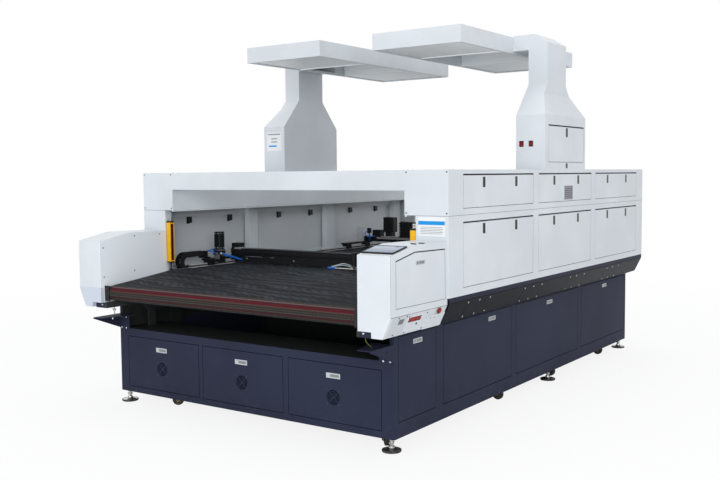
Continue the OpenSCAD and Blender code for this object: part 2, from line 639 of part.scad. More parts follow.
module touch_screen() {
  color(black) on_top() difference() {
    union() {
      box(-87.6, 69.6, -71.6, 33.6, -15.6, 0.6);
      box(-106, 87, -89, 48.5, 0.3, 8.3);
    }
    box(-99, 80, -82, 41.5, 7.3, 9);
  }
}
module stop_button() color(red) on_slope() translate([stop_at, stop_y, -stop_stroke - 0.4]) {
  mirror([0, 0, 1]) rotate_extrude($fn = 48) polygon([[0, 0], [11, 0], [17, 1.5], [18, 4], [16.5, 8], [11, 10.5], [0, 11]]);
  translate([0, 0, -0.5]) cylinder(d = 24, h = 22, $fn = 36);
}

// ---------- conveyor ----------
tan_a = asin(nose_r / norm([break_y - nose_y, belt_z - nose_z]));
dir_a = atan2(belt_z - nose_z, break_y - nose_y);
nose_a0 = 90 + dir_a - tan_a;
// closed loop of the belt at depth t below its face
function loop(t) = concat(
  arc([nose_y, nose_z], nose_r - t, nose_a0, 262, 26),
  [[-1500, 648 + t], [1500, 648 + t]],
  arc([rear_y, rear_z], nose_r - t, -75, 90, 26),
  [[break_y, belt_z - t]]);
module belt() color(charcoal) along_x(-belt_w / 2, belt_w / 2) difference() {
  polygon(loop(0));
  polygon(loop(belt_t));
}
module roller(y, z) {
  translate([0, y, z]) rotate([0, 90, 0]) {
    difference() {
      cylinder(r = nose_r - belt_t - roller_gap, h = belt_w - 14, center = true, $fn = 64);
      for (s = [-1, 1]) translate([0, 0, s * (belt_w / 2)]) cylinder(r = nose_r - belt_t - 9, h = 44, center = true, $fn = 48);
    }
    cylinder(r = 12, h = 1938, center = true, $fn = 32);
  }
}
module nose_roller() color(zinc) roller(nose_y, nose_z);
module rear_roller() color(zinc) roller(rear_y, rear_z);
module conveyor_side() {
  difference() {
    union() {
      // nose plate that follows the belt's slope
      along_x(960, 976) polygon([[nose_y - 44, 704], [nose_y - 44, 770], [nose_y - 30, 788], [nose_y, 793], [break_y, 838], [enc_y0 + 30, 838], [enc_y0 + 30, 600], [-1560, 600], [-1640, 690], [-1700, 704]]);
      // box section inside the machine
      box(960, bw - base_wall, enc_y0 + 6, y_back - base_wall, 700, 838);
    }
    for (p = [[nose_y, nose_z], [rear_y, rear_z]]) translate([950, p[0], p[1]]) rotate([0, 90, 0]) cylinder(r = 12.3, h = 40, $fn = 32);
    // hollow of the box section
    box(970, 1044, enc_y0 + 60, enc_y1 - 140, 710, 828);
  }
  // bearing housing outside the nose plate
  difference() {
    box(976, 992, nose_y - 32, nose_y + 32, nose_z - 32, nose_z + 32);
    translate([950, nose_y, nose_z]) rotate([0, 90, 0]) cylinder(r = 12.3, h = 60, $fn = 32);
  }
  // arm under the console and its two struts to the cabinet
  box(976, 1078, con_y0 + 24, enc_y0 + 4, 650, 686);
  for (y = [-1560, -1400]) box(1056, 1078, y, y + 40, side_low_top, 650);
  // lower rear leg of the nose plate stands on the deck
  box(960, 976, -1560, -1500, base_front_top, 602);
}
module conveyor_frame() color(navy) {
  both() conveyor_side();
  // suction bed between the runs of the belt
  box(-948, 948, -1330, 1700, 720, belt_z - belt_t - 0.5);
  box(-948, 948, 1699, 1785, belt_z - belt_t - 4.5, belt_z - belt_t - 0.5);
  // sliding plate under the sloping part of the belt
  along_x(-948, 948) polygon([for (d = [4.5, 1]) for (y = d > 2 ? [nose_y + 60, break_y, -1325] : [-1325, break_y, nose_y + 60])
    [y, belt_z - belt_t - d - max(0, break_y - y) * tan(dir_a - tan_a)]]);
  for (y = [-1600, -1450]) box(-962, 962, y, y + 30, 742, belt_z - belt_t - 4 - (break_y - y) * tan(dir_a - tan_a));
  for (y = [-1250, 1640]) box(-962, 962, y, y + 40, 730, 800);
  // lower run of the cable chain lies in a tray on the side wall
  box(-1112, -1060, -1090, -60, enc_bottom + sheet, enc_bottom + sheet + 4);
}
module guide_rails() color(zinc) both() {
  difference() {
    box(rail_x - 15, rail_x + 15, -1105, 1890, 838, rail_z);
    for (s = [-1, 1]) box(rail_x + s * 15 - 4, rail_x + s * 15 + 4, -1106, 1891, 846, 852);
  }
}

// ---------- light curtains ----------
module light_curtains() both() translate([982, -1332, 0]) {
  color(yellow) difference() {
    box(-18, 18, -18, 18, 905, 1172);
    // window on the face that looks across the mouth
    box(-19, -14, -12, 12, 914, 1163);
  }
  color(black) {
    box(-17, 17, -17, 17, 897, 905);
    box(-17, 17, -17, 17, 1172, 1183);
    box(-13.5, -12.5, -11.5, 11.5, 915, 1162);
    translate([0, 0, 838]) cylinder(r = 5, h = 45.5, $fn = 20);
    translate([0, 0, 883]) cylinder(r = 8, h = 14.5, $fn = 20);
  }
  color(zinc) {
    // eye bracket at the top and angle brackets to the front cover
    translate([0, -3, 1183]) difference() {
      box(-9.5, 9.5, 0, 6, 0, 25);
      translate([0, -1, 14]) rotate([-90, 0, 0]) cylinder(d = 9, h = 8, $fn = 20);
    }
    box(17.5, 23, 2, 6, 1120, 1150);
    box(17.5, 23, 2, 6, 925, 955);
  }
}

// ---------- cable chain ----------
// centres, headings of the links: upper run, bend, lower run
ch_cz = ch_low + ch_r;
ch_n = floor(PI * ch_r / ch_pitch);
function ch_link(i) =
  i < chain_up_links ? [ch_front + (chain_up_links - i - 0.5) * ch_pitch, ch_low + 2 * ch_r, 180]
  : i < chain_up_links + ch_n ? let (a = 90 + (i - chain_up_links + 0.5) * 180 / ch_n) [ch_front + ch_r * cos(a), ch_cz + ch_r * sin(a), a + 90]
  : [ch_front + (i - chain_up_links - ch_n + 0.5) * ch_pitch, ch_low, 0];
ch_total = chain_up_links + ch_n + 36;
module chain_link() {
  // two side plates with a cross bar above and below
  for (s = [-1, 1]) box(s * ch_w / 2, s * (ch_w / 2 - 4), -ch_pitch / 2 + 1.2, ch_pitch / 2 - 1.2, -ch_t / 2 + 2, ch_t / 2 - 2);
  for (s = [-1, 1]) box(-ch_w / 2 + 1, ch_w / 2 - 1, -4, 4, s * (ch_t / 2 - 2), s * (ch_t / 2 - 5.5));
}
module drag_chain() color(black) {
  for (i = [0:ch_total - 1]) let (l = ch_link(i)) translate([ch_x, l[0], l[1]]) rotate([l[2], 0, 0]) chain_link();
}

// ---------- gantries ----------
module carriage(y) {
  // carriage plate with two saddles on the rail
  for (yy = [y + 20, y + 310]) difference() {
    box(rail_x - 24, rail_x + 24, yy, yy + 70, 842, 879);
    box(rail_x - 15.4, rail_x + 15.4, yy - 1, yy + 71, 840, rail_z + 0.4);
  }
  box(rail_x - 34, rail_x + 24, y, y + 400, 878, 892);
}
module gantry_beam(y0, z0, z1) {
  difference() {
    box(-1054, 1054, y0, y0 + beam_d, z0, z1);
    // grooves of the extrusion
    for (s = [0, 1]) box(-1055, 1055, y0 + s * beam_d - 5, y0 + s * beam_d + 5, z0 + 8, z0 + 18);
    box(-1055, 1055, y0 + 12, y0 + beam_d - 12, z0 + 10, z1 - 10);
  }
}
// beam on two carriages, with the head's rail on the face of the beam
module gantry(y0, z1) {
  color(black) {
    gantry_beam(y0, 892, z1);
    both() carriage(y0 - 311);
  }
  color(zinc) box(-880, 880, y0 - 10, y0, head_rail_z, head_rail_z + 16);
}
module front_gantry() {
  gantry(g1_y, 947);
  color(black) {
    // ledge along the front that carries the hoses
    difference() {
      box(-960, 960, g1_y - 60, g1_y, 858, 890);
      box(-955, 955, g1_y - 56, g1_y - 4, 864, 891);
    }
    for (x = [-950, -300, 300, 944]) box(x, x + 6, g1_y - 4, g1_y + 3, 884, 900);
    // drive motor with cooling fins on its gearbox at the left end
    difference() {
      translate([-985, -850, 953]) linear_extrude(129) polygon([[-30, -22], [-22, -30], [22, -30], [30, -22], [30, 22], [22, 30], [-22, 30], [-30, 22]]);
      for (z = [976:13:1054]) translate([-985, -850, z]) linear_extrude(5) difference() {
        square(64, center = true);
        square(54, center = true);
      }
    }
    box(-1015, -955, -880, -820, 862, 941);
    box(-1050, -985, -650, -580, 947, 985);
    // bracket of the cable chain
    box(-1112, -1030, -936, -924, 892, 944);
    box(-1054, -1030, -925, -897, 892, 900);
  }
  color(zinc) {
    box(-1019, -951, -884, -816, 941, 947);
    box(-1015, -955, -880, -820, 947, 953);
    for (y = [-930, -776]) box(-1046, -1010, y, y + 12, 892, 904);
    // clamps of the gearbox
    for (z = [880, 916]) box(-1018, -952, -883, -880, z, z + 9);
  }
}
module rear_gantry() {
  gantry(g2_y, 934);
  color(black) {
    // drive motor of the head: two bodies side by side on a bracket
    box(-800, -735, g2_y + 10, g2_y + 70, 934, 977);
    box(-819, -769, g2_y + 6, g2_y + 72, 977, 1108);
    box(-764, -714, g2_y + 6, g2_y + 72, 977, 1108);
    box(-770, -763, g2_y + 12, g2_y + 66, 977, 1096);
    // finned amplifier and the box beside it
    box(-650, -590, g2_y + 16, g2_y + 62, 934, 1071);
    for (i = [0:6]) box(-656, -585, g2_y + 8, g2_y + 70, 938 + i * 19, 948 + i * 19);
    box(-584.5, -518, g2_y + 10, g2_y + 68, 934, 1069);
    box(-938, -853, g2_y + 8, g2_y + 70, 934, 993);
    // camera on its pole
    box(-968, -952, g2_y - 20, g2_y + 1, 885, 899);
    translate([-960, g2_y - 11, 898]) cylinder(r = 6, h = 69, $fn = 24);
    box(-974, -946, g2_y - 25, g2_y + 3, 966, 1010);
    box(-1048, -1004, g2_y - 80, g2_y - 30, 892, 1023);
  }
  color(zinc) box(-837, -656, g2_y + 1, g2_y + 8.5, 934, 941);
}
module laser_head(x, y) translate([x, y, head_rail_z]) {
  color(dark) {
    // slide plate with lips above and below the rail, and the arm over the ledge
    box(-50, 50, -30, -10.5, -13, 44);
    box(-46, 46, -11, -3, -13, -0.6);
    box(-46, 46, -11, -3, 16.6, 20);
    box(-24, 24, -78, -29, -2, 26);
  }
  color(zinc) {
    // lens tube and nozzle
    translate([0, -96, -40]) cylinder(d = 40, h = 92, $fn = 40);
    translate([0, -96, -60]) cylinder(r1 = 4, r2 = 16, h = 20.5, $fn = 40);
    translate([20, -58, 34]) rotate([0, 90, 0]) cylinder(d = 24, h = 70, $fn = 32);
    box(24, 40, -66, -29, 14, 34);
  }
}
module front_laser_head() laser_head(150, g1_y);
module rear_laser_head() laser_head(-300, g2_y);

base_frame();
base_panels();
levelling_feet();
foot_rubbers();
caster_plates();
skirt_plates();
left_enclosure();
right_enclosure();
cross_beams();
left_tower();
right_tower();
left_canopy();
right_canopy();
left_console();
right_console();
touch_screen();
conveyor_frame();
belt();
guide_rails();
light_curtains();
drag_chain();
right_lower_door_1();
right_lower_door_2();
right_lower_door_3();
right_upper_door_1();
right_upper_door_2();
right_upper_door_3();
left_lower_door_1();
left_lower_door_2();
left_lower_door_3();
left_upper_door_1();
left_upper_door_2();
left_upper_door_3();
right_tower_door();
left_tower_door();
rocker_switch_1();
rocker_switch_2();
stop_button();
nose_roller();
rear_roller();
front_gantry();
rear_gantry();
front_laser_head();
rear_laser_head();
fork(0);  // fork_1
fork(1);  // fork_2
fork(2);  // fork_3
fork(3);  // fork_4
fork(4);  // fork_5
fork(5);  // fork_6
fork(6);  // fork_7
fork(7);  // fork_8
wheel(0);  // wheel_1
wheel(1);  // wheel_2
wheel(2);  // wheel_3
wheel(3);  // wheel_4
wheel(4);  // wheel_5
wheel(5);  // wheel_6
wheel(6);  // wheel_7
wheel(7);  // wheel_8
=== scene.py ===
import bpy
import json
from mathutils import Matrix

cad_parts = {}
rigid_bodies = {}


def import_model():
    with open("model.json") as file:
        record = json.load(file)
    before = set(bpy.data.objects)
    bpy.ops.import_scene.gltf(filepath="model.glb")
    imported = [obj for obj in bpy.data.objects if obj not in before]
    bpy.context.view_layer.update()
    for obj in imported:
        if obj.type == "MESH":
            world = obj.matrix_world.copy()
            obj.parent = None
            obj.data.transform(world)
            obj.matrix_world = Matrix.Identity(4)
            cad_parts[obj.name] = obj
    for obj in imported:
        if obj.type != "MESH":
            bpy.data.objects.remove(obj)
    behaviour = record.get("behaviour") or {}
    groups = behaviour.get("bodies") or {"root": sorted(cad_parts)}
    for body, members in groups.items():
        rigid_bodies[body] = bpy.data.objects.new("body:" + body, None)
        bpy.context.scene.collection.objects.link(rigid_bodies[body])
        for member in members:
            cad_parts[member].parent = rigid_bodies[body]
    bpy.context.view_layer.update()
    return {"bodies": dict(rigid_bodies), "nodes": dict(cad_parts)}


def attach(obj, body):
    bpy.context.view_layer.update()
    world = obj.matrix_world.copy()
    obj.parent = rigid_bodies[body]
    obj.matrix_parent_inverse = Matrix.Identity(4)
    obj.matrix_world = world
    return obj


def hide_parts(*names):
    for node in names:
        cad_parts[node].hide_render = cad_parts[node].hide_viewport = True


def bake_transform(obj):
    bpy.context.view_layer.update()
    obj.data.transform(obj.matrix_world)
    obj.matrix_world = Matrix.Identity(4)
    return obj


bl_info = {
    "name": "Fabric Laser Cutting Machine",
    "version": (1, 0, 0),
    "blender": (4, 5, 0),
    "location": "3D View > Sidebar > Laser Cutter",
    "description": "Finishes and fine fittings of a conveyor-fed fabric laser cutting machine",
    "category": "Object",
}

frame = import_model()

import json
import math
from functools import reduce

import bmesh
import bpy
from mathutils import Matrix, Vector

ROOT = next(iter(frame["bodies"]))
DOOR_NODES = [n for n in frame["nodes"] if "_door_" in n]
TOWER_DOORS = [n for n in frame["nodes"] if n.endswith("tower_door")]


# ---------- settings ----------
class CutterColours(bpy.types.PropertyGroup):
    """Colours of the machine's paints and fittings"""
    def colour(name, text, default):
        return bpy.props.FloatVectorProperty(
            name=name, description=text, default=default, subtype="COLOR", size=3, min=0, max=1)

    cabinet: colour("Cabinet", "Textured powder coat of the base cabinet", (0.024, 0.028, 0.052))
    covers: colour("Covers", "Satin powder coat of doors, consoles and towers", (0.66, 0.69, 0.72))
    inside: colour("Inside", "Paint on the inner faces of the covers", (0.68, 0.72, 0.75))
    skirt: colour("Skirt", "Dark satin paint of the skirt plates", (0.008, 0.009, 0.013))
    belt: colour("Belt", "Face of the conveyor belt", (0.015, 0.018, 0.023))
    stripe_red: colour("Red Stripe", "Red stripes over the belt nose", (0.098, 0.005, 0.011))
    stripe_olive: colour("Olive Stripe", "Olive stripes over the belt nose", (0.072, 0.055, 0.042))
    black: colour("Black", "Black anodised and moulded parts", (0.012, 0.012, 0.013))
    signal_yellow: colour("Signal Yellow", "Light curtain housings", (0.90, 0.46, 0.012))
    signal_red: colour("Signal Red", "Rockers and the stop button", (0.24, 0.006, 0.006))
    hose_blue: colour("Hose Blue", "Polyurethane air hoses", (0.020, 0.16, 0.62))
    band_blue: colour("Band Blue", "Coloured band on the console side", (0.006, 0.28, 0.69))


class CutterSizes(bpy.types.PropertyGroup):
    """Sizes of the fittings that are added to the frame"""
    def length(name, text, default, low, high):
        return bpy.props.FloatProperty(
            name=name, description=text, default=default, unit="LENGTH", min=low, max=high)

    screw_radius: length("Screw Radius", "Radius of a cover screw's head", 0.0062, 0.002, 0.02)
    screw_height: length("Screw Height", "Height of a cover screw's head", 0.0026, 0.0005, 0.01)
    hose_radius: length("Hose Radius", "Radius of an air hose", 0.004, 0.001, 0.02)
    link_pitch: length("Link Pitch", "Distance from one cable chain link to the next", 0.0270, 0.01, 0.08)
    floor_size: length("Floor Size", "Side of the floor", 60.0, 5.0, 200.0)
    key_power: bpy.props.FloatProperty(
        name="Key Light", description="Power that all lamps are measured by", default=520.0, unit="POWER",
        min=0.0, max=10000.0)


def colours():
    return bpy.context.scene.cutter_colours


def sizes():
    return bpy.context.scene.cutter_sizes


# ---------- places on the frame, in metres: x to the right, y to the rear, z up ----------
class Slope:
    """A sloping face low on the machine's side, given by its foot (x, z) and its rise and run"""

    def __init__(self, foot, rise, run):
        angle = math.atan2(rise, run)
        self.foot, self.sin, self.cos = foot, math.sin(angle), math.cos(angle)

    def at(self, up, y, out, side=1):
        """A place on it: up the slope, along the machine, out of the face"""
        x, z = self.foot
        return (side * (x + up * self.cos + out * self.sin), y, z + up * self.sin - out * self.cos)

    def facing(self, side=1):
        return (side * self.sin, 0, -self.cos)


CONSOLE_SLOPE = Slope((1.152, 0.655), 0.113, 0.053)
SKIRT_SLOPE = Slope((1.158, 0.660), 0.113, 0.055)
# the doors of a side: where each stands along the machine, and the heights of the two rows
DOOR_SPANS = ((-1.186, -0.255), (-0.166, 0.756), (0.846, 1.759))
DOOR_ROWS = ((0.848, 1.209), (1.295, 1.478))
# distances from the middle of the machine: inside the door sheet, at its latches and in its reveal
DOOR_BACK, DOOR_SKIN = 1.2095, 1.2005
GASKET_DEPTH = (1.1925, 1.2145)
# heights of the gap under the upper covers, and of the deck under the belt
SEAM = (1.2544, 1.2562)
DECK_TOP = 0.493
# axis of the roller that the belt turns round at the front
NOSE_Y, NOSE_Z = -1.841, 0.745
SIDE_PLATES = ((-1.461, 0.5757), (-0.565, 0.578), (0.330, 0.577), (1.416, 0.582))
FRONT_PLATES = (-0.693, -0.009, 0.677)
FANS = (-0.690, -0.007, 0.676)
CASTERS = ((0.950, -1.590), (0.985, -0.340), (0.985, 0.509), (0.985, 1.472),
           (-0.680, -1.612), (-0.985, -0.340), (-0.985, 0.509), (-0.985, 1.472))
TO_FRONT, TO_REAR, TO_RIGHT, UPWARD, DOWNWARD = (0, -1, 0), (0, 1, 0), (1, 0, 0), (0, 0, 1), (0, 0, -1)


# ---------- shader maths ----------
class Val:
    """A shader socket that can stand in Python arithmetic"""

    def __init__(self, finish, socket):
        self.finish, self.socket = finish, socket

    def math(self, operation, *others):
        return self.finish.math(operation, self, *others)

    def __add__(self, o): return self.math("ADD", o)
    def __radd__(self, o): return self.math("ADD", o)
    def __sub__(self, o): return self.math("SUBTRACT", o)
    def __rsub__(self, o): return self.finish.math("SUBTRACT", o, self)
    def __mul__(self, o): return self.math("MULTIPLY", o)
    def __rmul__(self, o): return self.math("MULTIPLY", o)
    def __gt__(self, o): return self.math("GREATER_THAN", o)
    def __lt__(self, o): return self.math("LESS_THAN", o)
    def __abs__(self): return self.math("ABSOLUTE")
    def sine(self): return self.math("SINE")
    def power(self, o): return self.math("POWER", o)
    def larger(self, o): return self.math("MAXIMUM", o)
    def smaller(self, o): return self.math("MINIMUM", o)

    def ramp(self, low, high, to_low=0.0, to_high=1.0, smooth=True):
        """This value taken from one range to another, held at both ends"""
        settings = {"interpolation_type": "SMOOTHSTEP" if smooth else "LINEAR", "clamp": True}
        sockets = dict(enumerate((self, low, high, to_low, to_high)))
        return self.finish.node("ShaderNodeMapRange", settings, sockets)


class Finish:
    """One procedural material, built on Object coordinates"""
    INPUTS = {"base": "Base Color", "rough": "Roughness", "metal": "Metallic", "normal": "Normal",
              "spec": "Specular IOR Level", "glow": "Emission Color", "glow_strength": "Emission Strength"}

    def __init__(self, name):
        self.material = bpy.data.materials.new(name)
        self.material.use_nodes = True
        self.tree = self.material.node_tree
        self.tree.nodes.clear()
        self.out = self.tree.nodes.new("ShaderNodeOutputMaterial")
        self.shader = self.tree.nodes.new("ShaderNodeBsdfPrincipled")
        self.tree.links.new(self.shader.outputs[0], self.out.inputs[0])
        self.place = self.node("ShaderNodeTexCoord", {}, {}, "Object")
        parts = self.node("ShaderNodeSeparateXYZ", {}, {0: self.place}).socket.node
        self.x, self.y, self.z = (Val(self, s) for s in parts.outputs)
        self.base = None

    def node(self, kind, settings, sockets, output=0):
        """Any node: its settings first, then the values or links of its sockets"""
        n = self.tree.nodes.new(kind)
        for key, value in settings.items():
            if key == "stops":
                self.set_stops(n.color_ramp, value)
            else:
                setattr(n, key, value)
        for key, value in sockets.items():
            if isinstance(value, Val):
                self.tree.links.new(value.socket, n.inputs[key])
            else:
                n.inputs[key].default_value = value
        return Val(self, n.outputs[output])

    def set_stops(self, ramp, stops):
        while len(ramp.elements) < len(stops):
            ramp.elements.new(0.5)
        for element, (at, colour) in zip(ramp.elements, stops):
            element.position, element.color = at, (*colour, 1)

    def math(self, operation, *values):
        return self.node("ShaderNodeMath", {"operation": operation}, dict(enumerate(values)))

    def noise(self, scale, detail=4.0, roughness=0.55, stretch=None):
        at = self.place
        if stretch:
            at = self.node("ShaderNodeVectorMath", {"operation": "MULTIPLY"}, {0: self.place, 1: stretch})
        sockets = {"Vector": at, "Scale": scale, "Detail": detail, "Roughness": roughness}
        return self.node("ShaderNodeTexNoise", {}, sockets, "Fac")

    def mix(self, amount, a, b):
        """Colour a turned to colour b by amount"""
        wide = lambda c: c if isinstance(c, Val) else (*tuple(c)[:3], 1)
        return self.node("ShaderNodeMix", {"data_type": "RGBA"}, {0: amount, 6: wide(a), 7: wide(b)}, 2)

    def within(self, value, low, high, edge=0.0004):
        """1 between low and high, 0 outside"""
        return value.ramp(low - edge, low + edge) * value.ramp(high - edge, high + edge, 1.0, 0.0)

    def box(self, x=None, y=None, z=None):
        """1 inside the given spans along the axes, 0 outside"""
        spans = [(self.x, x), (self.y, y), (self.z, z)]
        return reduce(Val.__mul__, [self.within(value, *span) for value, span in spans if span])

    def bump(self, height, distance):
        return self.node("ShaderNodeBump", {}, {"Distance": distance, "Height": height})

    def set(self, **sockets):
        """Values or links of the shader's inputs"""
        for key, value in sockets.items():
            s = self.shader.inputs[self.INPUTS[key]]
            if isinstance(value, Val):
                self.tree.links.new(value.socket, s)
            elif key in ("base", "glow"):
                s.default_value = (*tuple(value)[:3], 1)
            else:
                s.default_value = value
        self.base = sockets.get("base", self.base)
        return self


def any_of(*masks):
    """1 where one of the masks is 1"""
    return reduce(Val.larger, masks)


def shade(colour, k):
    return tuple(min(1.0, c * k) for c in tuple(colour)[:3])


# ---------- plain finishes ----------
def powder_coat(name, colour, rough=0.42, grain=0.00006):
    """Sprayed powder paint: orange-peel skin and a faint cloudy tone"""
    f = Finish(name)
    cloud = f.noise(2.2, 3.0)
    speck = f.noise(420.0, 2.0)
    peel = f.noise(260.0, 2.0) + f.noise(900.0, 1.0) * 0.4
    base = f.mix(cloud.ramp(0.35, 0.7), shade(colour, 0.96), shade(colour, 1.04))
    base = f.mix(speck.ramp(0.52, 0.75) * 0.10, base, shade(colour, 1.35))
    worn = speck.ramp(0.3, 0.8, rough - 0.05, rough + 0.07)
    return f.set(base=base, rough=worn, spec=0.3, normal=f.bump(peel, grain))


def textured_paint(name, colour):
    """Coarse wrinkle powder coat of the cabinet, with a little dust near the floor"""
    f = Finish(name)
    wrinkle = f.noise(620.0, 3.0)
    cloud = f.noise(1.6, 4.0)
    dust = f.z.ramp(0.30, 0.07) * f.noise(14.0, 5.0).ramp(0.45, 0.8) * 0.06
    base = f.mix(cloud.ramp(0.3, 0.7), shade(colour, 0.9), shade(colour, 1.15))
    base = f.mix(wrinkle.ramp(0.5, 0.8) * 0.25, base, shade(colour, 2.0))
    base = f.mix(dust, base, (0.20, 0.19, 0.18))
    rough = wrinkle.ramp(0.3, 0.7, 0.42, 0.6)
    return f.set(base=base, rough=rough, spec=0.07, normal=f.bump(wrinkle, 0.00025))


def metal(name, colour, rough=0.3, brushed=(1, 1, 30), stain=None):
    """Plated or turned metal with fine tool marks"""
    f = Finish(name)
    marks = f.noise(60.0, 3.0, 0.6, brushed)
    blotch = f.noise(24.0, 4.0)
    base = f.mix(blotch.ramp(0.35, 0.7), shade(colour, 0.85), colour)
    if stain:
        base = f.mix(f.noise(38.0, 3.0).ramp(0.45, 0.7) * 0.6, base, stain)
    worn = marks.ramp(0.2, 0.8, rough - 0.08, rough + 0.12)
    return f.set(base=base, metal=1.0, rough=worn, normal=f.bump(marks, 0.00004))


def moulded(name, colour, rough=0.45, grain=500.0):
    """Moulded plastic with a fine spark-eroded grain"""
    f = Finish(name)
    eroded = f.noise(grain, 2.0)
    base = f.mix(eroded.ramp(0.4, 0.7) * 0.4, colour, shade(colour, 1.5))
    worn = eroded.ramp(0.3, 0.7, rough - 0.06, rough + 0.08)
    return f.set(base=base, rough=worn, spec=0.25, normal=f.bump(eroded, 0.00005))


def lit_plastic(name, colour, glow):
    """Smooth plastic lit from inside"""
    return moulded(name, colour, 0.3).set(glow=glow, glow_strength=0.9)


def rubber(name, colour):
    """Hard rubber with scuffs and floor dust"""
    f = Finish(name)
    scuff = f.noise(130.0, 4.0)
    dust = f.z.ramp(0.05, 0.0) * f.noise(60.0, 3.0).ramp(0.4, 0.7)
    scuffed = f.mix(scuff.ramp(0.5, 0.75) * 0.5, colour, shade(colour, 2.2))
    base = f.mix(dust * 0.35, scuffed, (0.22, 0.20, 0.17))
    return f.set(base=base, rough=scuff.ramp(0.3, 0.7, 0.55, 0.8), normal=f.bump(scuff, 0.0003))


# ---------- finishes of single parts ----------
GASKET = (0.012, 0.012, 0.013)
LATCH = (0.010, 0.010, 0.011)


def stripe_stops(c):
    """Colours of the belt as it comes round the nose, from its lower side to its top"""
    red, olive, dark = tuple(c.stripe_red), tuple(c.stripe_olive), (0.014, 0.012, 0.013)
    pink, grey = (0.24, 0.13, 0.14), (0.075, 0.068, 0.062)
    return [(0.0, dark), (0.10, dark), (0.15, grey), (0.19, dark), (0.25, olive), (0.29, dark), (0.33, red),
            (0.37, dark), (0.42, grey), (0.46, dark), (0.51, olive), (0.55, dark), (0.61, shade(olive, 1.1)),
            (0.65, red), (0.74, red), (0.79, dark), (0.84, pink), (0.88, dark), (0.93, grey), (1.0, dark)]


def belt_face(name):
    """Coated belting: woven face, slanting ripples from its tension with their light and shade painted into
    the colour, and coloured stripes over the nose
    """
    c = colours()
    f = Finish(name)
    # the stripes run across the belt and follow it round the nose
    turn = (f.z - NOSE_Z).math("ARCTAN2", (f.y - NOSE_Y) * -1.0)
    wobble = f.noise(3.0, 2.0) * 0.05
    dots = ((f.x * 250.0).sine() * (turn * 30.0).sine()).ramp(-0.2, 0.4)
    place = (turn + wobble).ramp(-1.35, 1.45, 0.0, 1.0, False)
    band = f.node("ShaderNodeValToRGB", {"stops": stripe_stops(c)}, {0: place})
    striped = f.mix(dots * 0.6, band, (0.010, 0.008, 0.009))
    on_nose = (f.y < -1.835) * f.z.ramp(0.697, 0.706)
    # wide and narrow ripples, strong in some places and faint in others
    fold = f.noise(1.0, 3.0, 0.5, (1.6, 5.5, 1.0))
    wide = (f.x * 11.0 + f.y * 84.0 + fold * 26.0).sine() * 0.5 + 0.5
    narrow = (f.x * 95.0 + f.y * 150.0 + fold * 30.0).sine() * 0.5 + 0.5
    ripple = (wide * 0.65 + narrow * 0.35) * f.noise(1.7, 2.0).ramp(0.25, 0.7, 0.45, 1.0)
    weave = (f.x * 5200.0).sine() * (f.y * 5200.0).sine()
    # painted light and shade: the ripples' lit and shaded sides are painted into the top's colour
    top = f.mix(ripple.ramp(0.20, 0.85) * 0.8, shade(c.belt, 0.55), shade(c.belt, 2.3))
    under = f.mix(f.noise(210.0, 2.0).ramp(0.50, 0.62), (0.034, 0.040, 0.036), (0.085, 0.095, 0.088))
    base = f.mix(f.z.ramp(0.70, 0.69), top, under)
    base = f.mix(on_nose, base, striped)
    base = f.mix(weave.ramp(-0.2, 0.9) * 0.12, base, (0.16, 0.16, 0.16))
    height = ripple * 0.6 + fold * 0.4
    relief = {"Distance": 0.0030, "Height": height, "Normal": f.bump(weave, 0.00008)}
    return f.set(base=base, rough=ripple.ramp(0.0, 1.0, 0.62, 0.48), spec=0.05,
                 normal=f.node("ShaderNodeBump", {}, relief))


def gaskets_round_doors(f):
    """1 on the rubber strip round each door opening of the enclosure"""
    strips = [f.box(y=(y0 - 0.009, y1 + 0.009), z=(z0 - 0.009, z1 + 0.014))
              for y0, y1 in DOOR_SPANS for z0, z1 in DOOR_ROWS]
    side = abs(f.x)
    return any_of(*strips) * f.within(side, *GASKET_DEPTH) * (side < 1.2149)


def enclosure_paint(name, c):
    """White outside, grey primer inside and black gaskets round the doors; the seam over the covers is
    painted dark as painted shade, and the lip under the upper covers is painted paler as a painted highlight
    """
    f = powder_coat(name, c.covers)
    side = abs(f.x)
    outside = any_of(side > 1.2112, f.z > 1.5106, f.y < -1.3532, f.y > 1.9172)
    primer = f.mix(f.noise(1.4, 3.0).ramp(0.35, 0.7), shade(c.inside, 0.93), shade(c.inside, 1.06))
    base = f.mix(outside, primer, f.base)
    base = f.mix(gaskets_round_doors(f), base, GASKET)
    # painted shade: the seam groove under the upper covers is painted near black
    base = f.mix(f.within(f.z, *SEAM, 0.0003), base, (0.02, 0.02, 0.022))
    # painted highlight: the folded lip at the foot of the upper covers' inner wall is painted lighter than
    # the covers
    lip = f.within(side, 0.930, 0.942) * f.within(f.z, 1.248, SEAM[1])
    return f.set(base=f.mix(lip, base, shade(c.covers, 1.1)))


def latches_in_doors(f):
    """1 on the two latches of each door: a slot in the skin and a wider body behind it"""
    side = abs(f.x)
    masks = []
    for y0, y1 in DOOR_SPANS:
        for y in (y0 + 0.25, y1 - 0.25):
            for _, door_top in DOOR_ROWS:
                z = door_top - 0.065
                slot = f.box(y=(y - 0.0165, y + 0.0165), z=(z - 0.005, z + 0.056))
                body = f.box(y=(y - 0.0204, y + 0.0204), z=(z, z + 0.048))
                masks += [slot * (side > DOOR_SKIN), body * (side < 1.2012)]
    return any_of(*masks)


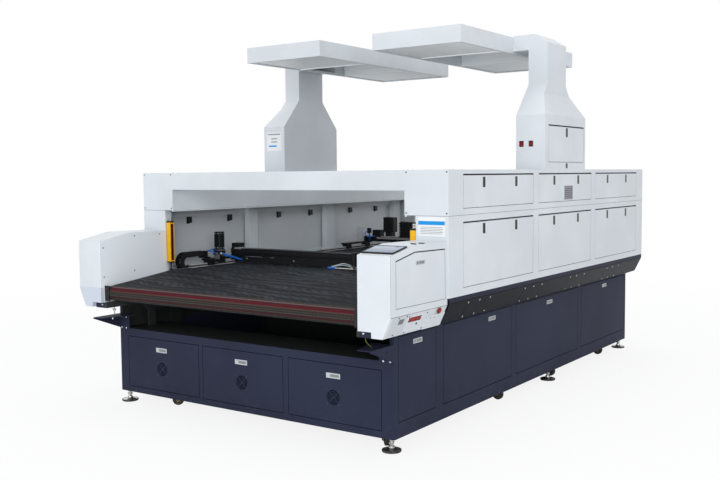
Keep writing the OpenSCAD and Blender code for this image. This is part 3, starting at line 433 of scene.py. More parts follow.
def door_paint(name, c):
    """White door with black latches let into it, grey on the inside"""
    f = powder_coat(name, c.covers)
    latches = latches_in_doors(f)
    base = f.mix(abs(f.x) < DOOR_BACK, f.base, c.inside)
    base = f.mix(latches, base, LATCH)
    # bare data field on the right middle upper door, with plain rows
    field = (f.x > 1.2145) * f.box(y=(0.2555, 0.4070), z=(1.3027, 1.3990))
    rows = f.box(y=(0.268, 0.394), z=(1.312, 1.390)) * ((f.z * 480.0).sine() > 0.1)
    base = f.mix(field, base, f.mix(rows * 0.7, (0.24, 0.25, 0.27), (0.05, 0.055, 0.065)))
    return f.set(base=base, rough=latches.ramp(0.0, 1.0, 0.42, 0.3))


def tower_paint(name, c, door=False):
    """White tower or tower door with black latches, gasket and switch frames"""
    f = powder_coat(name, c.covers)
    side = abs(f.x)
    slots = f.box(y=(0.279, 0.309), z=(1.519, 1.552)).larger(f.box(y=(0.2765, 0.3095), z=(1.733, 1.794)))
    frames = [f.within(side, x - 0.0152, x + 0.0152) * f.box(y=(-0.0715, -0.0555), z=(1.6635, 1.7025))
              for x in (1.045, 1.113)]
    black = any_of(slots * (side > DOOR_SKIN), any_of(*frames) * (f.x > 0.5))
    if door:
        return f.set(base=f.mix(black, f.mix(side < DOOR_BACK, f.base, c.inside), LATCH))
    gasket = f.box(y=(-0.022, 0.608), z=(1.553, 1.814)) * f.within(side, *GASKET_DEPTH)
    inside = f.within(side, 1.0095, 1.2105) * f.box(y=(-0.0635, 0.6275), z=(1.5155, 1.87))
    return f.set(base=f.mix(gasket.larger(black), f.mix(inside, f.base, c.inside), LATCH))


def canopy_paint(name, c):
    """White canopy with grey panels under it, painted brighter than the covers as painted light, and a
    suction recess painted darker as painted shade
    """
    f = powder_coat(name, c.covers)
    under = f.within(abs(f.x), 0.2425, 0.8675) * f.within(f.y, -0.5955, 1.1595) * (f.z < 2.4165)
    # painted light: the panels under the canopy are brighter than the white covers
    panel = f.mix(f.noise(1.2, 3.0).ramp(0.3, 0.7), shade(c.inside, 1.35), shade(c.inside, 1.6))
    # painted shade: the suction recess between the panels is a darker copy of the inside paint
    middle = f.within(f.y, -0.0195, 0.5695)
    return f.set(base=f.mix(under, f.base, f.mix(middle, panel, shade(c.inside, 0.85))))


def console_paint(name, c):
    """White console and dark display window; the groove, slots and holes and a line along the side panel's
    edge are painted dark as painted shade
    """
    f = powder_coat(name, c.covers)
    slope = CONSOLE_SLOPE
    x, z = slope.foot
    up = (f.x - x) * slope.cos + (f.z - z) * slope.sin
    out = (f.x - x) * slope.sin - (f.z - z) * slope.cos
    on_face = (out > -0.012) * (f.x > 1.0) * f.within(f.y, -1.90, -1.36)

    def patch(y_span, up_span, edge=0.0004):
        """1 on a rectangle of the sloping face"""
        return f.within(up, *up_span, edge) * f.within(f.y, *y_span, edge) * on_face

    window = patch((-1.7342, -1.6078), (0.0708, 0.1002), 0.0002) * (out < 0.0018)
    slot = patch((-1.8270, -1.7760), (0.0700, 0.1010), 0.0002)
    lamp = f.within(up, 0.046, 0.060) * f.within(f.y, -1.6432, -1.6308) * (out > 0.00252)
    holes = patch((-1.508, -1.414), (0.0615, 0.0705)) * (out > -0.006) * (out < 0.0050)
    grey_left = patch((-1.898, -1.746), (0.004, 0.1235)) * (out > -0.0005)
    # outer side: a groove behind the side panel and the panel's upper edge, highest in its middle, both
    # painted dark as painted shade
    outer = f.x > 1.2034
    groove = outer * (f.x < 1.20494)
    panel_top = (1.0487 + (f.y + 1.876) * 0.187).smaller(1.0835 - (f.y + 1.690) * 0.0193)
    panel_edge = (abs(f.z - panel_top) < 0.0034) * f.within(f.y, -1.876, -1.379) * outer
    top_slots = f.box(x=(1.160, 1.202), y=(-1.690, -1.575), z=(1.100, 1.1211))
    base = f.mix(grey_left * 0.5, f.base, shade(c.covers, 0.72))
    # painted shade: the groove, the reader slot, the holes, the slots on top and a band along the panel's
    # upper edge are painted dark
    base = f.mix(groove, base, (0.16, 0.165, 0.17))
    base = f.mix(slot * 0.8, base, (0.045, 0.046, 0.05))
    base = f.mix(any_of(holes, top_slots, panel_edge), base, (0.03, 0.03, 0.032))
    return f.set(base=f.mix(window.larger(lamp), base, (0.008, 0.006, 0.006)))


def left_console_paint(name, c):
    """White console with its inner face painted lighter as painted light, and its lower front painted darker
    and cooler as painted shade
    """
    f = powder_coat(name, c.covers)
    # painted light: the inner face is painted lighter than the covers
    base = f.mix(f.x > -1.004, f.base, shade(c.covers, 1.22))
    # painted shade: the lower front, below the fold, is painted darker and bluer
    return f.set(base=f.mix((f.z < 0.782) * (f.y < -1.9), base, (0.56, 0.61, 0.68)))


def gantry_paint(name, c):
    """Black anodised beams and motors, worn in places, with bright plates and a pale end box painted a darker
    copy of the inside paint as painted shade
    """
    f = powder_coat(name, c.black, 0.34, 0.00003)
    motor_flange = f.box(x=(-1.020, -0.950), z=(0.9408, 0.9532)) * (f.y < 0.5) * (f.y > -0.9)
    rear_rail = f.box(y=(1.0498, 1.0599), z=(0.9146, 0.9314)) * (abs(f.x) < 0.8804)
    clamp = f.box(x=(-0.8374, -0.6556), y=(1.0605, 1.0690), z=(0.9342, 0.9412))
    gearbox_face = f.box(x=(-1.0184, -0.9516), y=(-0.8834, -0.8801), z=(0.8796, 0.9254))
    bright = any_of(motor_flange, rear_rail, clamp, gearbox_face)
    end_box = f.box(x=(-1.0485, -1.0035), y=(0.978, 1.032), z=(0.888, 1.025))
    base = f.mix(f.noise(70.0, 4.0).ramp(0.62, 0.78) * 0.25, f.base, (0.05, 0.05, 0.052))
    base = f.mix(bright, base, (0.60, 0.60, 0.59))
    # painted shade: the end box wears a darker copy of the inside paint, matching the shaded wall behind it
    base = f.mix(end_box, base, shade(c.inside, 0.85))
    return f.set(base=base, metal=bright, spec=0.14, rough=bright.ramp(0.0, 1.0, 0.36, 0.24))


def head_paint(name, c):
    """Grey slide, bright lens tube and nozzle"""
    f = powder_coat(name, c.black, 0.4, 0.00003)
    front_tube = f.box(x=(0.170, 0.2405), y=(-0.7258, -0.7002), z=(0.9365, 0.9612))
    rear_tube = f.box(x=(-0.280, -0.2095), y=(0.9892, 1.0148), z=(0.9365, 0.9612))
    bright = any_of(front_tube, rear_tube, f.z < 0.876)
    base = f.mix(bright, f.base, (0.58, 0.58, 0.57))
    return f.set(base=base, metal=bright, spec=0.14, rough=bright.ramp(0.0, 1.0, 0.4, 0.22))


def curtain_paint(name, c):
    """Yellow housing, dark red window, black end caps and plugs, zinc brackets"""
    f = powder_coat(name, c.signal_yellow, 0.35, 0.00003)
    side = abs(f.x)
    ends = (f.z < 0.9052).larger(f.z > 1.1718)
    window = (side < 0.9715) * f.box(y=(-1.3442, -1.3198), z=(0.9138, 1.1632))
    zinc = (f.z > 1.1832).larger((side > 1.0003) * (f.z > 0.92) * (f.z < 1.16))
    lens = f.mix(f.noise(90.0, 2.0).ramp(0.3, 0.7), (0.035, 0.004, 0.006), (0.070, 0.008, 0.010))
    base = f.mix(window, f.base, lens)
    base = f.mix(ends, base, c.black)
    base = f.mix(zinc, base, (0.6, 0.6, 0.58))
    return f.set(base=base, metal=zinc, rough=window.ramp(0.0, 1.0, 0.35, 0.12))


def screen_glass(name, c):
    """Black rimmed panel; its glass carries a pale painted reflection and one dark button"""
    f = moulded(name, shade(c.black, 0.8), 0.35)
    tilt = math.atan2(0.0415, 0.220)
    y, z = f.y + 1.800, f.z - 1.10175
    along = y * math.cos(tilt) + z * math.sin(tilt)
    out = z * math.cos(tilt) - y * math.sin(tilt)
    glass = (f.within(out, 0.0060, 0.0079, 0.0002) * f.within(f.x, 1.0112, 1.1898, 0.0003)
             * f.within(along, -0.0818, 0.0413, 0.0003))
    # painted reflection: the glass is painted paler along its length, with cloudy patches
    sheen = f.mix(along.ramp(-0.08, 0.04) + f.noise(9.0, 3.0) * 0.3, (0.30, 0.36, 0.44), (0.52, 0.58, 0.66))
    across, behind = f.x - 1.150, along - 0.028
    button = (across * across * 0.35 + behind * behind * 2.2) < 0.00006
    base = f.mix(glass, f.base, f.mix(button, sheen, (0.04, 0.045, 0.05)))
    return f.set(base=base, rough=glass.ramp(0.0, 1.0, 0.38, 0.10))


def rocker_plastic(name, c):
    """Red rocker, darker at its rim"""
    f = moulded(name, c.signal_red, 0.3)
    rim = abs(f.z - 1.683) > 0.0105
    return f.set(base=f.mix(rim * 0.6, f.base, shade(c.signal_red, 0.3)))


def deck_paint(name, c):
    """Cabinet paint, painted near black behind the front wall and under the belt as painted shade"""
    f = textured_paint(name, c.cabinet)
    side = abs(f.x)
    # painted shade: the deck under the belt and the inside behind the front wall are painted near black
    deck = f.box(y=(-1.6985, 1.89), z=(DECK_TOP - 0.004, 0.85)) * (side < 1.0775)
    inner = f.box(y=(-1.688, 1.89), z=(0.10, DECK_TOP)) * (side < 1.070)
    return f.set(base=f.mix(deck.larger(inner), f.base, (0.029, 0.034, 0.032)))


def rail_finish(name):
    """Guide rail: ground top and foot, blackened flanks"""
    f = metal(name, (0.74, 0.74, 0.73), 0.30, (1, 40, 1))
    flank = f.within(f.z, 0.8435, 0.8545)
    return f.set(base=f.mix(flank, f.base, (0.05, 0.05, 0.055)), metal=0.2)


def conveyor_paint(name, c):
    """Cabinet paint; the parts under the belt nose are painted near black as painted shade, and the chain's
    tray is painted paler, its top edge as a painted highlight
    """
    f = textured_paint(name, c.cabinet)
    # painted shade: the parts under the belt nose are painted near black, with cloudy patches
    low = (f.z < 0.700) * (abs(f.x) < 0.998)
    under_nose_shade = f.mix(f.noise(3.0, 3.0).ramp(0.35, 0.7), (0.028, 0.033, 0.032), (0.042, 0.047, 0.045))
    base = f.mix(low, f.base, under_nose_shade)
    # painted light: the chain's tray is painted paler than the cabinet, and its top edge paler still as a
    # painted highlight
    tray = (f.z > 0.785) * (f.x < -0.956)
    base = f.mix(tray, base, shade(c.cabinet, 1.5))
    return f.set(base=f.mix((f.z > 0.8262) * tray, base, (0.16, 0.165, 0.18)))


def skirt_paint(name, c):
    """Near-black satin, bluer on the band under the covers"""
    f = powder_coat(name, c.skirt, 0.36)
    return f.set(base=f.mix(f.z > 0.7735, f.base, shade(c.cabinet, 0.8)), spec=0.05)


# ---------- finishes on parts ----------
FINISHES = {}


def make_finishes():
    c = colours()
    FINISHES.update(
        frame_paint=deck_paint("frame_paint", c),
        conveyor=conveyor_paint("conveyor_paint", c),
        covers=powder_coat("cover_paint", c.covers),
        enclosure=enclosure_paint("enclosure_paint", c),
        door=door_paint("door_paint", c),
        tower=tower_paint("tower_paint", c),
        tower_door=tower_paint("tower_door_paint", c, True),
        canopy=canopy_paint("canopy_paint", c),
        console=console_paint("console_paint", c),
        left_console=left_console_paint("left_console_paint", c),
        gantry=gantry_paint("gantry_paint", c),
        head=head_paint("laser_head_paint", c),
        curtain=curtain_paint("light_curtain_paint", c),
        screen=screen_glass("screen_glass", c),
        rocker=rocker_plastic("rocker_plastic", c),
        skirt=skirt_paint("skirt_paint", c),
        zinc=metal("bright_zinc", (0.62, 0.62, 0.60), 0.28, (20, 20, 20)),
        yellow_zinc=metal("yellow_zinc", (0.52, 0.40, 0.14), 0.34, (20, 20, 20), (0.42, 0.30, 0.22)),
        rubber=rubber("foot_rubber", (0.010, 0.010, 0.011)),
        tyre=rubber("wheel_rubber", (0.016, 0.017, 0.012)),
        belt=belt_face("belt_face"),
        black_plastic=moulded("black_nylon", shade(c.black, 1.2)),
        black_metal=powder_coat("black_steel", c.black, 0.36, 0.00003),
        red_plastic=moulded("signal_red_plastic", c.signal_red, 0.3),
        roller=metal("turned_roller", (0.60, 0.61, 0.62), 0.3, (60, 1, 1)),
        steel=rail_finish("ground_rail"),
        screw=metal("screw_steel", (0.66, 0.66, 0.66), 0.25, (8, 8, 8)),
        dark_screw=metal("blackened_screw", (0.10, 0.10, 0.10), 0.35, (8, 8, 8)),
        hose=moulded("hose_blue", c.hose_blue, 0.25, 80.0),
        pale_hose=moulded("hose_pale", (0.50, 0.58, 0.62), 0.25, 80.0),
        cable=moulded("cable_black", c.black, 0.4, 200.0),
        plate=powder_coat("plate_silver", (0.50, 0.51, 0.52), 0.30, 0.00002),
        white_plate=powder_coat("plate_white", (0.80, 0.81, 0.82), 0.30, 0.00002),
        grey_plate=powder_coat("plate_grey", (0.22, 0.225, 0.235), 0.35, 0.00002),
        blue_band=powder_coat("band_blue", c.band_blue, 0.3, 0.00002),
        glow_red=lit_plastic("display_red", (0.30, 0.010, 0.006), (1.0, 0.02, 0.01)),
        earth=moulded("earth_wire", (0.10, 0.12, 0.02), 0.4, 120.0))


FINISH_OF = {
    "base_frame": "frame_paint", "base_panels": "frame_paint", "conveyor_frame": "conveyor",
    "caster_plates": "yellow_zinc", "levelling_feet": "zinc", "foot_rubbers": "rubber",
    "skirt_plates": "skirt", "guide_rails": "steel", "belt": "belt", "drag_chain": "black_plastic",
    "nose_roller": "roller", "rear_roller": "roller", "front_gantry": "gantry", "rear_gantry": "gantry",
    "front_laser_head": "head", "rear_laser_head": "head", "light_curtains": "curtain",
    "left_enclosure": "enclosure", "right_enclosure": "enclosure",
    "left_tower": "tower", "right_tower": "tower",
    "left_tower_door": "tower_door", "right_tower_door": "tower_door",
    "left_canopy": "canopy", "right_canopy": "canopy", "left_console": "left_console",
    "right_console": "console", "touch_screen": "screen", "stop_button": "red_plastic",
    "rocker_switch_1": "rocker", "rocker_switch_2": "rocker"}


def finish_of(node):
    """The finish that a part of the frame wears; covers without one of their own are plain white"""
    if node.startswith("fork"):
        return "yellow_zinc"
    if node.startswith("wheel"):
        return "tyre"
    if node in DOOR_NODES and node not in TOWER_DOORS:
        return "door"
    return FINISH_OF.get(node, "covers")


class CUTTER_OT_finishes(bpy.types.Operator):
    """Give every part of the frame its paint, plating, rubber or plastic"""
    bl_idname = "cutter.finishes"
    bl_label = "Apply Finishes"

    def execute(self, context):
        make_finishes()
        for node, part in frame["nodes"].items():
            part.data.materials.clear()
            part.data.materials.append(FINISHES[finish_of(node)].material)
        return {"FINISHED"}


# ---------- node groups ----------
class Group:
    """A Geometry Nodes group built step by step, with named inputs"""

    def __init__(self, name, inputs):
        self.tree = bpy.data.node_groups.new(name, "GeometryNodeTree")
        face = self.tree.interface
        face.new_socket("Geometry", in_out="INPUT", socket_type="NodeSocketGeometry")
        self.ids = {}
        for label, kind, value in (*inputs, ("Finish", "Material", None)):
            s = face.new_socket(label, in_out="INPUT", socket_type="NodeSocket" + kind)
            if value is not None:
                s.default_value = value
            self.ids[label] = s.identifier
        face.new_socket("Geometry", in_out="OUTPUT", socket_type="NodeSocketGeometry")
        self.start = self.tree.nodes.new("NodeGroupInput")
        self.end = self.tree.nodes.new("NodeGroupOutput")

    def given(self, label):
        return self.start.outputs[label]

    def node(self, kind, settings=None, **sockets):
        """Any node; sockets are named with _ for a space, and take a value, an output or a list of them"""
        n = self.tree.nodes.new(kind)
        for key, value in (settings or {}).items():
            setattr(n, key, value)
        for key, value in sockets.items():
            s = n.inputs[key.replace("_", " ")]
            for v in value if isinstance(value, list) else [value]:
                if isinstance(v, bpy.types.NodeSocket):
                    self.tree.links.new(v, s)
                else:
                    s.default_value = v
        return n

    def times(self, a, b):
        n = self.tree.nodes.new("ShaderNodeMath")
        n.operation = "MULTIPLY"
        self.tree.links.new(a, n.inputs[0])
        n.inputs[1].default_value = b
        return n.outputs[0]

    def vector(self, x, y, z):
        return self.node("ShaderNodeCombineXYZ", X=x, Y=y, Z=z).outputs[0]

    def cylinder(self, vertices, radius, depth):
        return self.node("GeometryNodeMeshCylinder", {"fill_type": "NGON"},
                         Vertices=vertices, Radius=radius, Depth=depth)

    def block(self, x, y, z):
        return self.node("GeometryNodeMeshCube", Size=self.vector(x, y, z)).outputs[0]

    def moved(self, geometry, x, y, z):
        at = self.vector(x, y, z)
        return self.node("GeometryNodeTransform", Geometry=geometry, Translation=at).outputs[0]

    def on_points(self, points, piece, turn):
        placed = self.node("GeometryNodeInstanceOnPoints", Points=points, Instance=piece, Rotation=turn)
        return placed.outputs[0]

    def extrude(self, mesh, selection, offset):
        return self.node("GeometryNodeExtrudeMesh", {"mode": "FACES"},
                         Mesh=mesh, Selection=selection, Offset_Scale=offset)

    def shrink(self, extruded, scale):
        """Scale the face at the top of an extrusion"""
        mesh, top = extruded.outputs["Mesh"], extruded.outputs["Top"]
        scaled = self.node("GeometryNodeScaleElements", {"domain": "FACE"},
                           Geometry=mesh, Selection=top, Scale=scale)
        return scaled.outputs[0]

    def close(self, geometry):
        """Realize, give the material and end the group"""
        real = self.node("GeometryNodeRealizeInstances", Geometry=geometry)
        done = self.node("GeometryNodeSetMaterial", Geometry=real.outputs[0], Material=self.given("Finish"))
        self.tree.links.new(done.outputs[0], self.end.inputs[0])
        return self


def grow(name, mesh, group, body, finish, **values):
    """Run a node group on a mesh, keep the plain result and let it ride on one body"""
    o = bpy.data.objects.new(name, mesh)
    bpy.context.scene.collection.objects.link(o)
    m = o.modifiers.new("grow", "NODES")
    m.node_group = group.tree
    m[group.ids["Finish"]] = FINISHES[finish].material
    for label, value in values.items():
        m[group.ids[label.replace("_", " ")]] = value
    seen = bpy.context.evaluated_depsgraph_get()
    grown = o.evaluated_get(seen)
    plain = bpy.data.meshes.new_from_object(grown, preserve_all_data_layers=True, depsgraph=seen)
    o.modifiers.clear()
    o.data = plain
    plain.name = name
    if not plain.polygons:
        raise RuntimeError(f"{name} came out empty")
    if body:
        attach(o, body)
    return o


def points_mesh(name, spots):
    """A mesh of loose points, each with the direction it faces"""
    mesh = bpy.data.meshes.new(name)
    mesh.from_pydata([at for at, aim in spots], [], [])
    aim = mesh.attributes.new("aim", "FLOAT_VECTOR", "POINT")
    aim.data.foreach_set("vector", [c for at, a in spots for c in a])
    return mesh


def path_mesh(name, paths):
    """A mesh of open polylines"""
    mesh = bpy.data.meshes.new(name)
    verts, edges = [], []
    for path in paths:
        edges += [(len(verts) + i, len(verts) + i + 1) for i in range(len(path) - 1)]
        verts += path
    mesh.from_pydata(verts, edges, [])
    return mesh


def rounded(line, steps=8):
    """Points of a smooth curve through the given places"""
    p = [Vector(q) for q in line]
    p = [2 * p[0] - p[1]] + p + [2 * p[-1] - p[-2]]
    out = []
    for a, b, c, d in zip(p, p[1:], p[2:], p[3:]):
        for i in range(steps):
            t = i / steps
            bend = (2 * a - 5 * b + 4 * c - d) * t * t + (3 * b - a - 3 * c + d) * t ** 3
            out.append(0.5 * (2 * b + (c - a) * t + bend))
    return out + [p[-2]]


def screw_group():
    """Pan-head screws with a driver recess, one on each point"""
    inputs = [("Head Radius", "Float", 0.006), ("Head Height", "Float", 0.0025), ("Sides", "Int", 14)]
    g = Group("pan_head_screws", inputs)
    height = g.given("Head Height")
    stub = g.cylinder(g.given("Sides"), g.given("Head Radius"), height)
    dome = g.extrude(stub.outputs["Mesh"], stub.outputs["Top"], g.times(height, 0.35))
    lip = g.extrude(g.shrink(dome, 0.72), dome.outputs["Top"], 0.0)
    recess = g.extrude(g.shrink(lip, 0.55), lip.outputs["Top"], g.times(height, -0.7))
    aim = g.node("GeometryNodeInputNamedAttribute", {"data_type": "FLOAT_VECTOR"}, Name="aim")
    turn = g.node("FunctionNodeAlignRotationToVector", {"axis": "Z"}, Vector=aim.outputs[0])
    return g.close(g.on_points(g.given("Geometry"), recess.outputs["Mesh"], turn.outputs[0]))


def tube_group():
    """Round tube along each polyline"""
    g = Group("round_tubes", [("Radius", "Float", 0.004), ("Sides", "Int", 12)])
    curve = g.node("GeometryNodeMeshToCurve", Mesh=g.given("Geometry"))
    ring = g.node("GeometryNodeCurvePrimitiveCircle", {"mode": "RADIUS"},
                  Resolution=g.given("Sides"), Radius=g.given("Radius"))
    tube = g.node("GeometryNodeCurveToMesh",
                  Curve=curve.outputs[0], Profile_Curve=ring.outputs[0], Fill_Caps=True)
    return g.close(tube.outputs[0])


def chain_group():
    """Cable chain links along a polyline: two side plates, two bars and a round joint to a link"""
    inputs = [("Pitch", "Float", 0.027), ("Width", "Float", 0.05), ("Height", "Float", 0.036)]
    g = Group("cable_chain_links", inputs)
    pitch, width, height = g.given("Pitch"), g.given("Width"), g.given("Height")

    def disc(vertices, radius, depth):
        """A cylinder that lies across the chain"""
        made = g.cylinder(vertices, radius, depth).outputs["Mesh"]
        return g.node("GeometryNodeTransform", Geometry=made, Rotation=(0, math.pi / 2, 0)).outputs[0]

    plate = g.block(0.004, g.times(pitch, 0.86), height)
    joint = disc(16, g.times(height, 0.5), 0.0036)
    pin = disc(12, g.times(height, 0.2), 0.0052)
    bar = g.block(g.times(width, 0.9), g.times(pitch, 0.32), 0.003)
    parts = []
    for side in (-1, 1):
        edge = g.times(width, 0.5 * side)
        parts += [g.moved(plate, edge, 0.0, 0.0),
                  g.moved(joint, edge, g.times(pitch, 0.36), 0.0),
                  g.moved(joint, edge, g.times(pitch, -0.36), 0.0),
                  g.moved(pin, edge, g.times(pitch, 0.5), 0.0),
                  g.moved(bar, 0.0, 0.0, g.times(height, 0.44 * side))]
    link = g.node("GeometryNodeJoinGeometry", Geometry=parts[::-1])
    curve = g.node("GeometryNodeMeshToCurve", Mesh=g.given("Geometry"))
    spots = g.node("GeometryNodeCurveToPoints", {"mode": "LENGTH"}, Curve=curve.outputs[0], Length=pitch)
    turn = g.node("FunctionNodeAlignRotationToVector", {"axis": "Y", "pivot_axis": "X"},
                  Vector=spots.outputs["Tangent"])
    return g.close(g.on_points(spots.outputs["Points"], link.outputs[0], turn.outputs[0]))


# ---------- screws: each is a place and the direction that it faces ----------
def skirt_screws(side):
    """Two rows on the skirt plates of one side"""
    for y in (-1.110, -0.972, -0.838, -0.352, -0.221, -0.087, 0.398, 0.512, 0.658, 1.127, 1.248, 1.385):
        for up in (0.010, 0.104):
            yield SKIRT_SLOPE.at(up, y, 0.0022, side), SKIRT_SLOPE.facing(side)


def roof_screws(side):
    """On top of the front and rear covers"""
    for x in (0.942, 1.203):
        for y in (-1.335, -1.285, 1.890):
            yield (side * x, y, 1.5112), UPWARD


def bracket_screws(side):
    """On the corner bracket and the arm of the belt nose"""
    for x, z in ((1.0157, 0.4945), (1.0596, 0.4948), (1.0157, 0.565), (1.0596, 0.565)):
        yield (side * x, -1.7094, z), TO_FRONT
    yield (side * 1.0179, -1.8982, 0.6708), TO_FRONT


def console_screws(side):
    """On the inner face of a console"""
    for y, z in ((-1.895, 1.036), (-1.893, 0.848), (-1.634, 1.098), (-1.414, 1.098), (-1.640, 0.870)):
        yield (side * 0.9998, y, z), (-side, 0, 0)


def corner_screws(side):
    """In the corners of the front and rear covers"""
    for x in (0.942, 1.203):
        for z in (1.270, 1.498):
            yield (side * x, -1.3542, z), TO_FRONT
            yield (side * x, 1.9182, z), TO_REAR


def display_screws():
    """On the right console's slope, round the display panel and the slot beside it"""
    for y, up in ((-1.7375, 0.107), (-1.5595, 0.107), (-1.5595, 0.014), (-1.7375, 0.014)):
        yield CONSOLE_SLOPE.at(up, y, 0.0026), CONSOLE_SLOPE.facing()
    for y, up in ((-1.8375, 0.112), (-1.7600, 0.112), (-1.8375, 0.012)):
        yield CONSOLE_SLOPE.at(up, y, 0.0001), CONSOLE_SLOPE.facing()


def fan_screws():
    """At the four corners of each fan guard"""
    for x in FANS:
        for dx in (-0.040, 0.040):
            for dz in (-0.040, 0.040):
                yield (x + dx, -1.7048, 0.252 + dz), TO_FRONT


def motor_screws():
    """On the front beam's ledge and on two faces of its motor"""
    for x in (-0.839, -0.399):
        yield (x, -0.7152, 0.882), TO_FRONT
    for dx in (-0.014, 0.014):
        for z in (0.965, 1.070):
            yield (-0.985 + dx, -0.8802, z), TO_FRONT
    for dy in (-0.014, 0.014):
        for z in (0.965, 1.070):
            yield (-0.9548, -0.850 + dy, z), TO_RIGHT


def caster_bolts():
    """Under the plates of the casters"""
    for x, y in CASTERS:
        for dx in (-0.033, 0.033):
            for dy in (-0.027, 0.027):
                yield (x + dx, y + dy, 0.0998), DOWNWARD


class CUTTER_OT_screws(bpy.types.Operator):
    """Screws of skirt, consoles, covers, fan guards, brackets and motor, and bolts of the casters"""
    bl_idname = "cutter.screws"
    bl_label = "Add Screws"

    def execute(self, context):
        group, size = screw_group(), sizes()

        def screws(name, spots, body, finish, radius, height, **sides):
            mesh = points_mesh(name, list(spots))
            grow(name, mesh, group, body, finish, Head_Radius=radius, Head_Height=height, **sides)

        bright, dark = [], []
        for side in (1, -1):
            bright += [*skirt_screws(side), *roof_screws(side), *bracket_screws(side)]
            dark += [*console_screws(side), *corner_screws(side)]
        dark += display_screws()
        screws("cover_screws", bright, ROOT, "screw", size.screw_radius, size.screw_height)
        screws("dark_screws", dark, ROOT, "dark_screw", size.screw_radius * 0.72, size.screw_height * 0.8)
        screws("fan_screws", fan_screws(), ROOT, "dark_screw", 0.0042, 0.002)
        screws("motor_screws", motor_screws(), "front_gantry", "screw", 0.0044, 0.0022)
        screws("caster_bolts", caster_bolts(), ROOT, "zinc", 0.0068, 0.006, Sides=6)
        return {"FINISHED"}


# ---------- plates ----------
def eased_box(bm, size, ease, segments, spot):
    """A box with eased edges, brought to its spot by a matrix"""
    made = bmesh.ops.create_cube(bm, size=1.0)["verts"]
    bmesh.ops.scale(bm, vec=size, verts=made)
    edges = list({e for v in made for e in v.link_edges})
    new = bmesh.ops.bevel(bm, geom=edges, offset=ease, segments=segments, affect="EDGES")["verts"]
    bmesh.ops.transform(bm, matrix=spot, verts=list({*new, *[v for v in made if v.is_valid]}))


def solid(name, build, finish, body=ROOT):
    """A mesh object made by build(bm), wearing one finish and riding on one body"""
    mesh = bpy.data.meshes.new(name)
    bm = bmesh.new()
    build(bm)
    bmesh.ops.recalc_face_normals(bm, faces=bm.faces)
    bm.to_mesh(mesh)
    bm.free()
    mesh.materials.append(FINISHES[finish].material)
    o = bpy.data.objects.new(name, mesh)
    bpy.context.scene.collection.objects.link(o)
    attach(o, body)


def slabs(name, rows, finish, ease=0.0006, body=ROOT):
    """One piece of thin plates, each a centre and a size"""
    def build(bm):
        for centre, size in rows:
            eased_box(bm, size, min(ease, min(size) * 0.3), 2, Matrix.Translation(centre))
    solid(name, build, finish, body)


def plate_blanks():
    """Rating plates of the cabinet's right side, its front and the console"""
    for y, z in SIDE_PLATES:
        yield (1.0795, y, z), (0.0012, 0.094, 0.026)
    for x in FRONT_PLATES:
        yield (x, -1.7055, 0.3745), (0.097, 0.0012, 0.029)
    yield (1.2055, -1.637, 1.026), (0.0012, 0.092, 0.024)


def plate_bars():
    """Raised plain bars where such plates carry their data"""
    for y, z in SIDE_PLATES:
        yield (1.0802, y - 0.030, z), (0.0004, 0.018, 0.016)
        yield (1.0802, y + 0.012, z), (0.0004, 0.052, 0.014)
    for x in FRONT_PLATES:
        yield (x + 0.010, -1.7062, 0.3745), (0.060, 0.0004, 0.015)
    yield (1.2062, -1.666, 1.026), (0.0004, 0.018, 0.015)
    yield (1.2062, -1.625, 1.026), (0.0004, 0.052, 0.013)


def sign_bars():
    """Raised plain bars on the two signs"""
    for i in range(5):
        yield (1.106, -1.3552, 1.1925 - i * 0.0088), (0.148 if i % 2 else 0.140, 0.0003, 0.0026)
    for width, z in ((0.130, 1.815), (0.060, 1.780), (0.060, 1.755)):
        yield (-1.110, -0.0692, z), (width, 0.0003, 0.008)


class CUTTER_OT_plates(bpy.types.Operator):
    """Bare rating plates and signs with no lettering, and the small plates and caps of the front"""
    bl_idname = "cutter.plates"
    bl_label = "Add Plates"

    def execute(self, context):
        signs = [((1.106, -1.3546, 1.1960), (0.174, 0.0010, 0.106)),
                 ((-1.110, -0.0686, 1.757), (0.150, 0.0010, 0.150))]
        caps = [((side * 0.978, -1.8892, 0.745), (0.041, 0.0078, 0.098)) for side in (-1, 1)]
        grommets = [(at, (0.032, 0.012, 0.0055)) for at in ((1.182, -1.668, 1.1248), (1.188, -1.596, 1.1232))]
        clips = [((x, -0.7270, 0.8598), (0.010, 0.026, 0.003)) for x in (0.002, 0.140)]
        slabs("rating_plates", plate_blanks(), "plate")
        slabs("plate_fields", plate_bars(), "grey_plate", 0.0001)
        slabs("sign_plates", signs, "white_plate")
        slabs("sign_band", [((1.106, -1.3552, 1.2165), (0.170, 0.0004, 0.0215))], "blue_band", 0.0001)
        slabs("tower_sign_band", [((-1.125, -0.0692, 1.722), (0.080, 0.0004, 0.012))], "blue_band", 0.0001)
        slabs("sign_rows", sign_bars(), "grey_plate", 0.0001)
        # closing caps beside the belt nose, and the plate that keeps the chain on its tray
        slabs("nose_caps", caps, "black_plastic", 0.001)
        slabs("nose_mark", [((-0.9855, -1.8934, 0.774), (0.011, 0.0008, 0.008))], "red_plastic", 0.0002)
        slabs("cable_grommets", grommets, "black_plastic", 0.001)
        slabs("tube_clips", clips, "black_plastic", body="front_gantry")
        slabs("chain_guide", [((-1.0570, -1.071, 0.8325), (0.0028, 0.082, 0.0505))], "black_metal", 0.0005)
        return {"FINISHED"}


# ---------- display ----------
# the bars of a digit: place across, place up (in half digits), and whether it stands upright
DIGIT_BARS = {"a": (0, 1, False), "b": (1, 0.5, True), "c": (1, -0.5, True), "d": (0, -1, False),
              "e": (-1, -0.5, True), "f": (-1, 0.5, True), "g": (0, 0, False)}
LIT_BARS = {"0": "abcdef", "2": "abged", "5": "afgcd", "8": "abcdefg"}


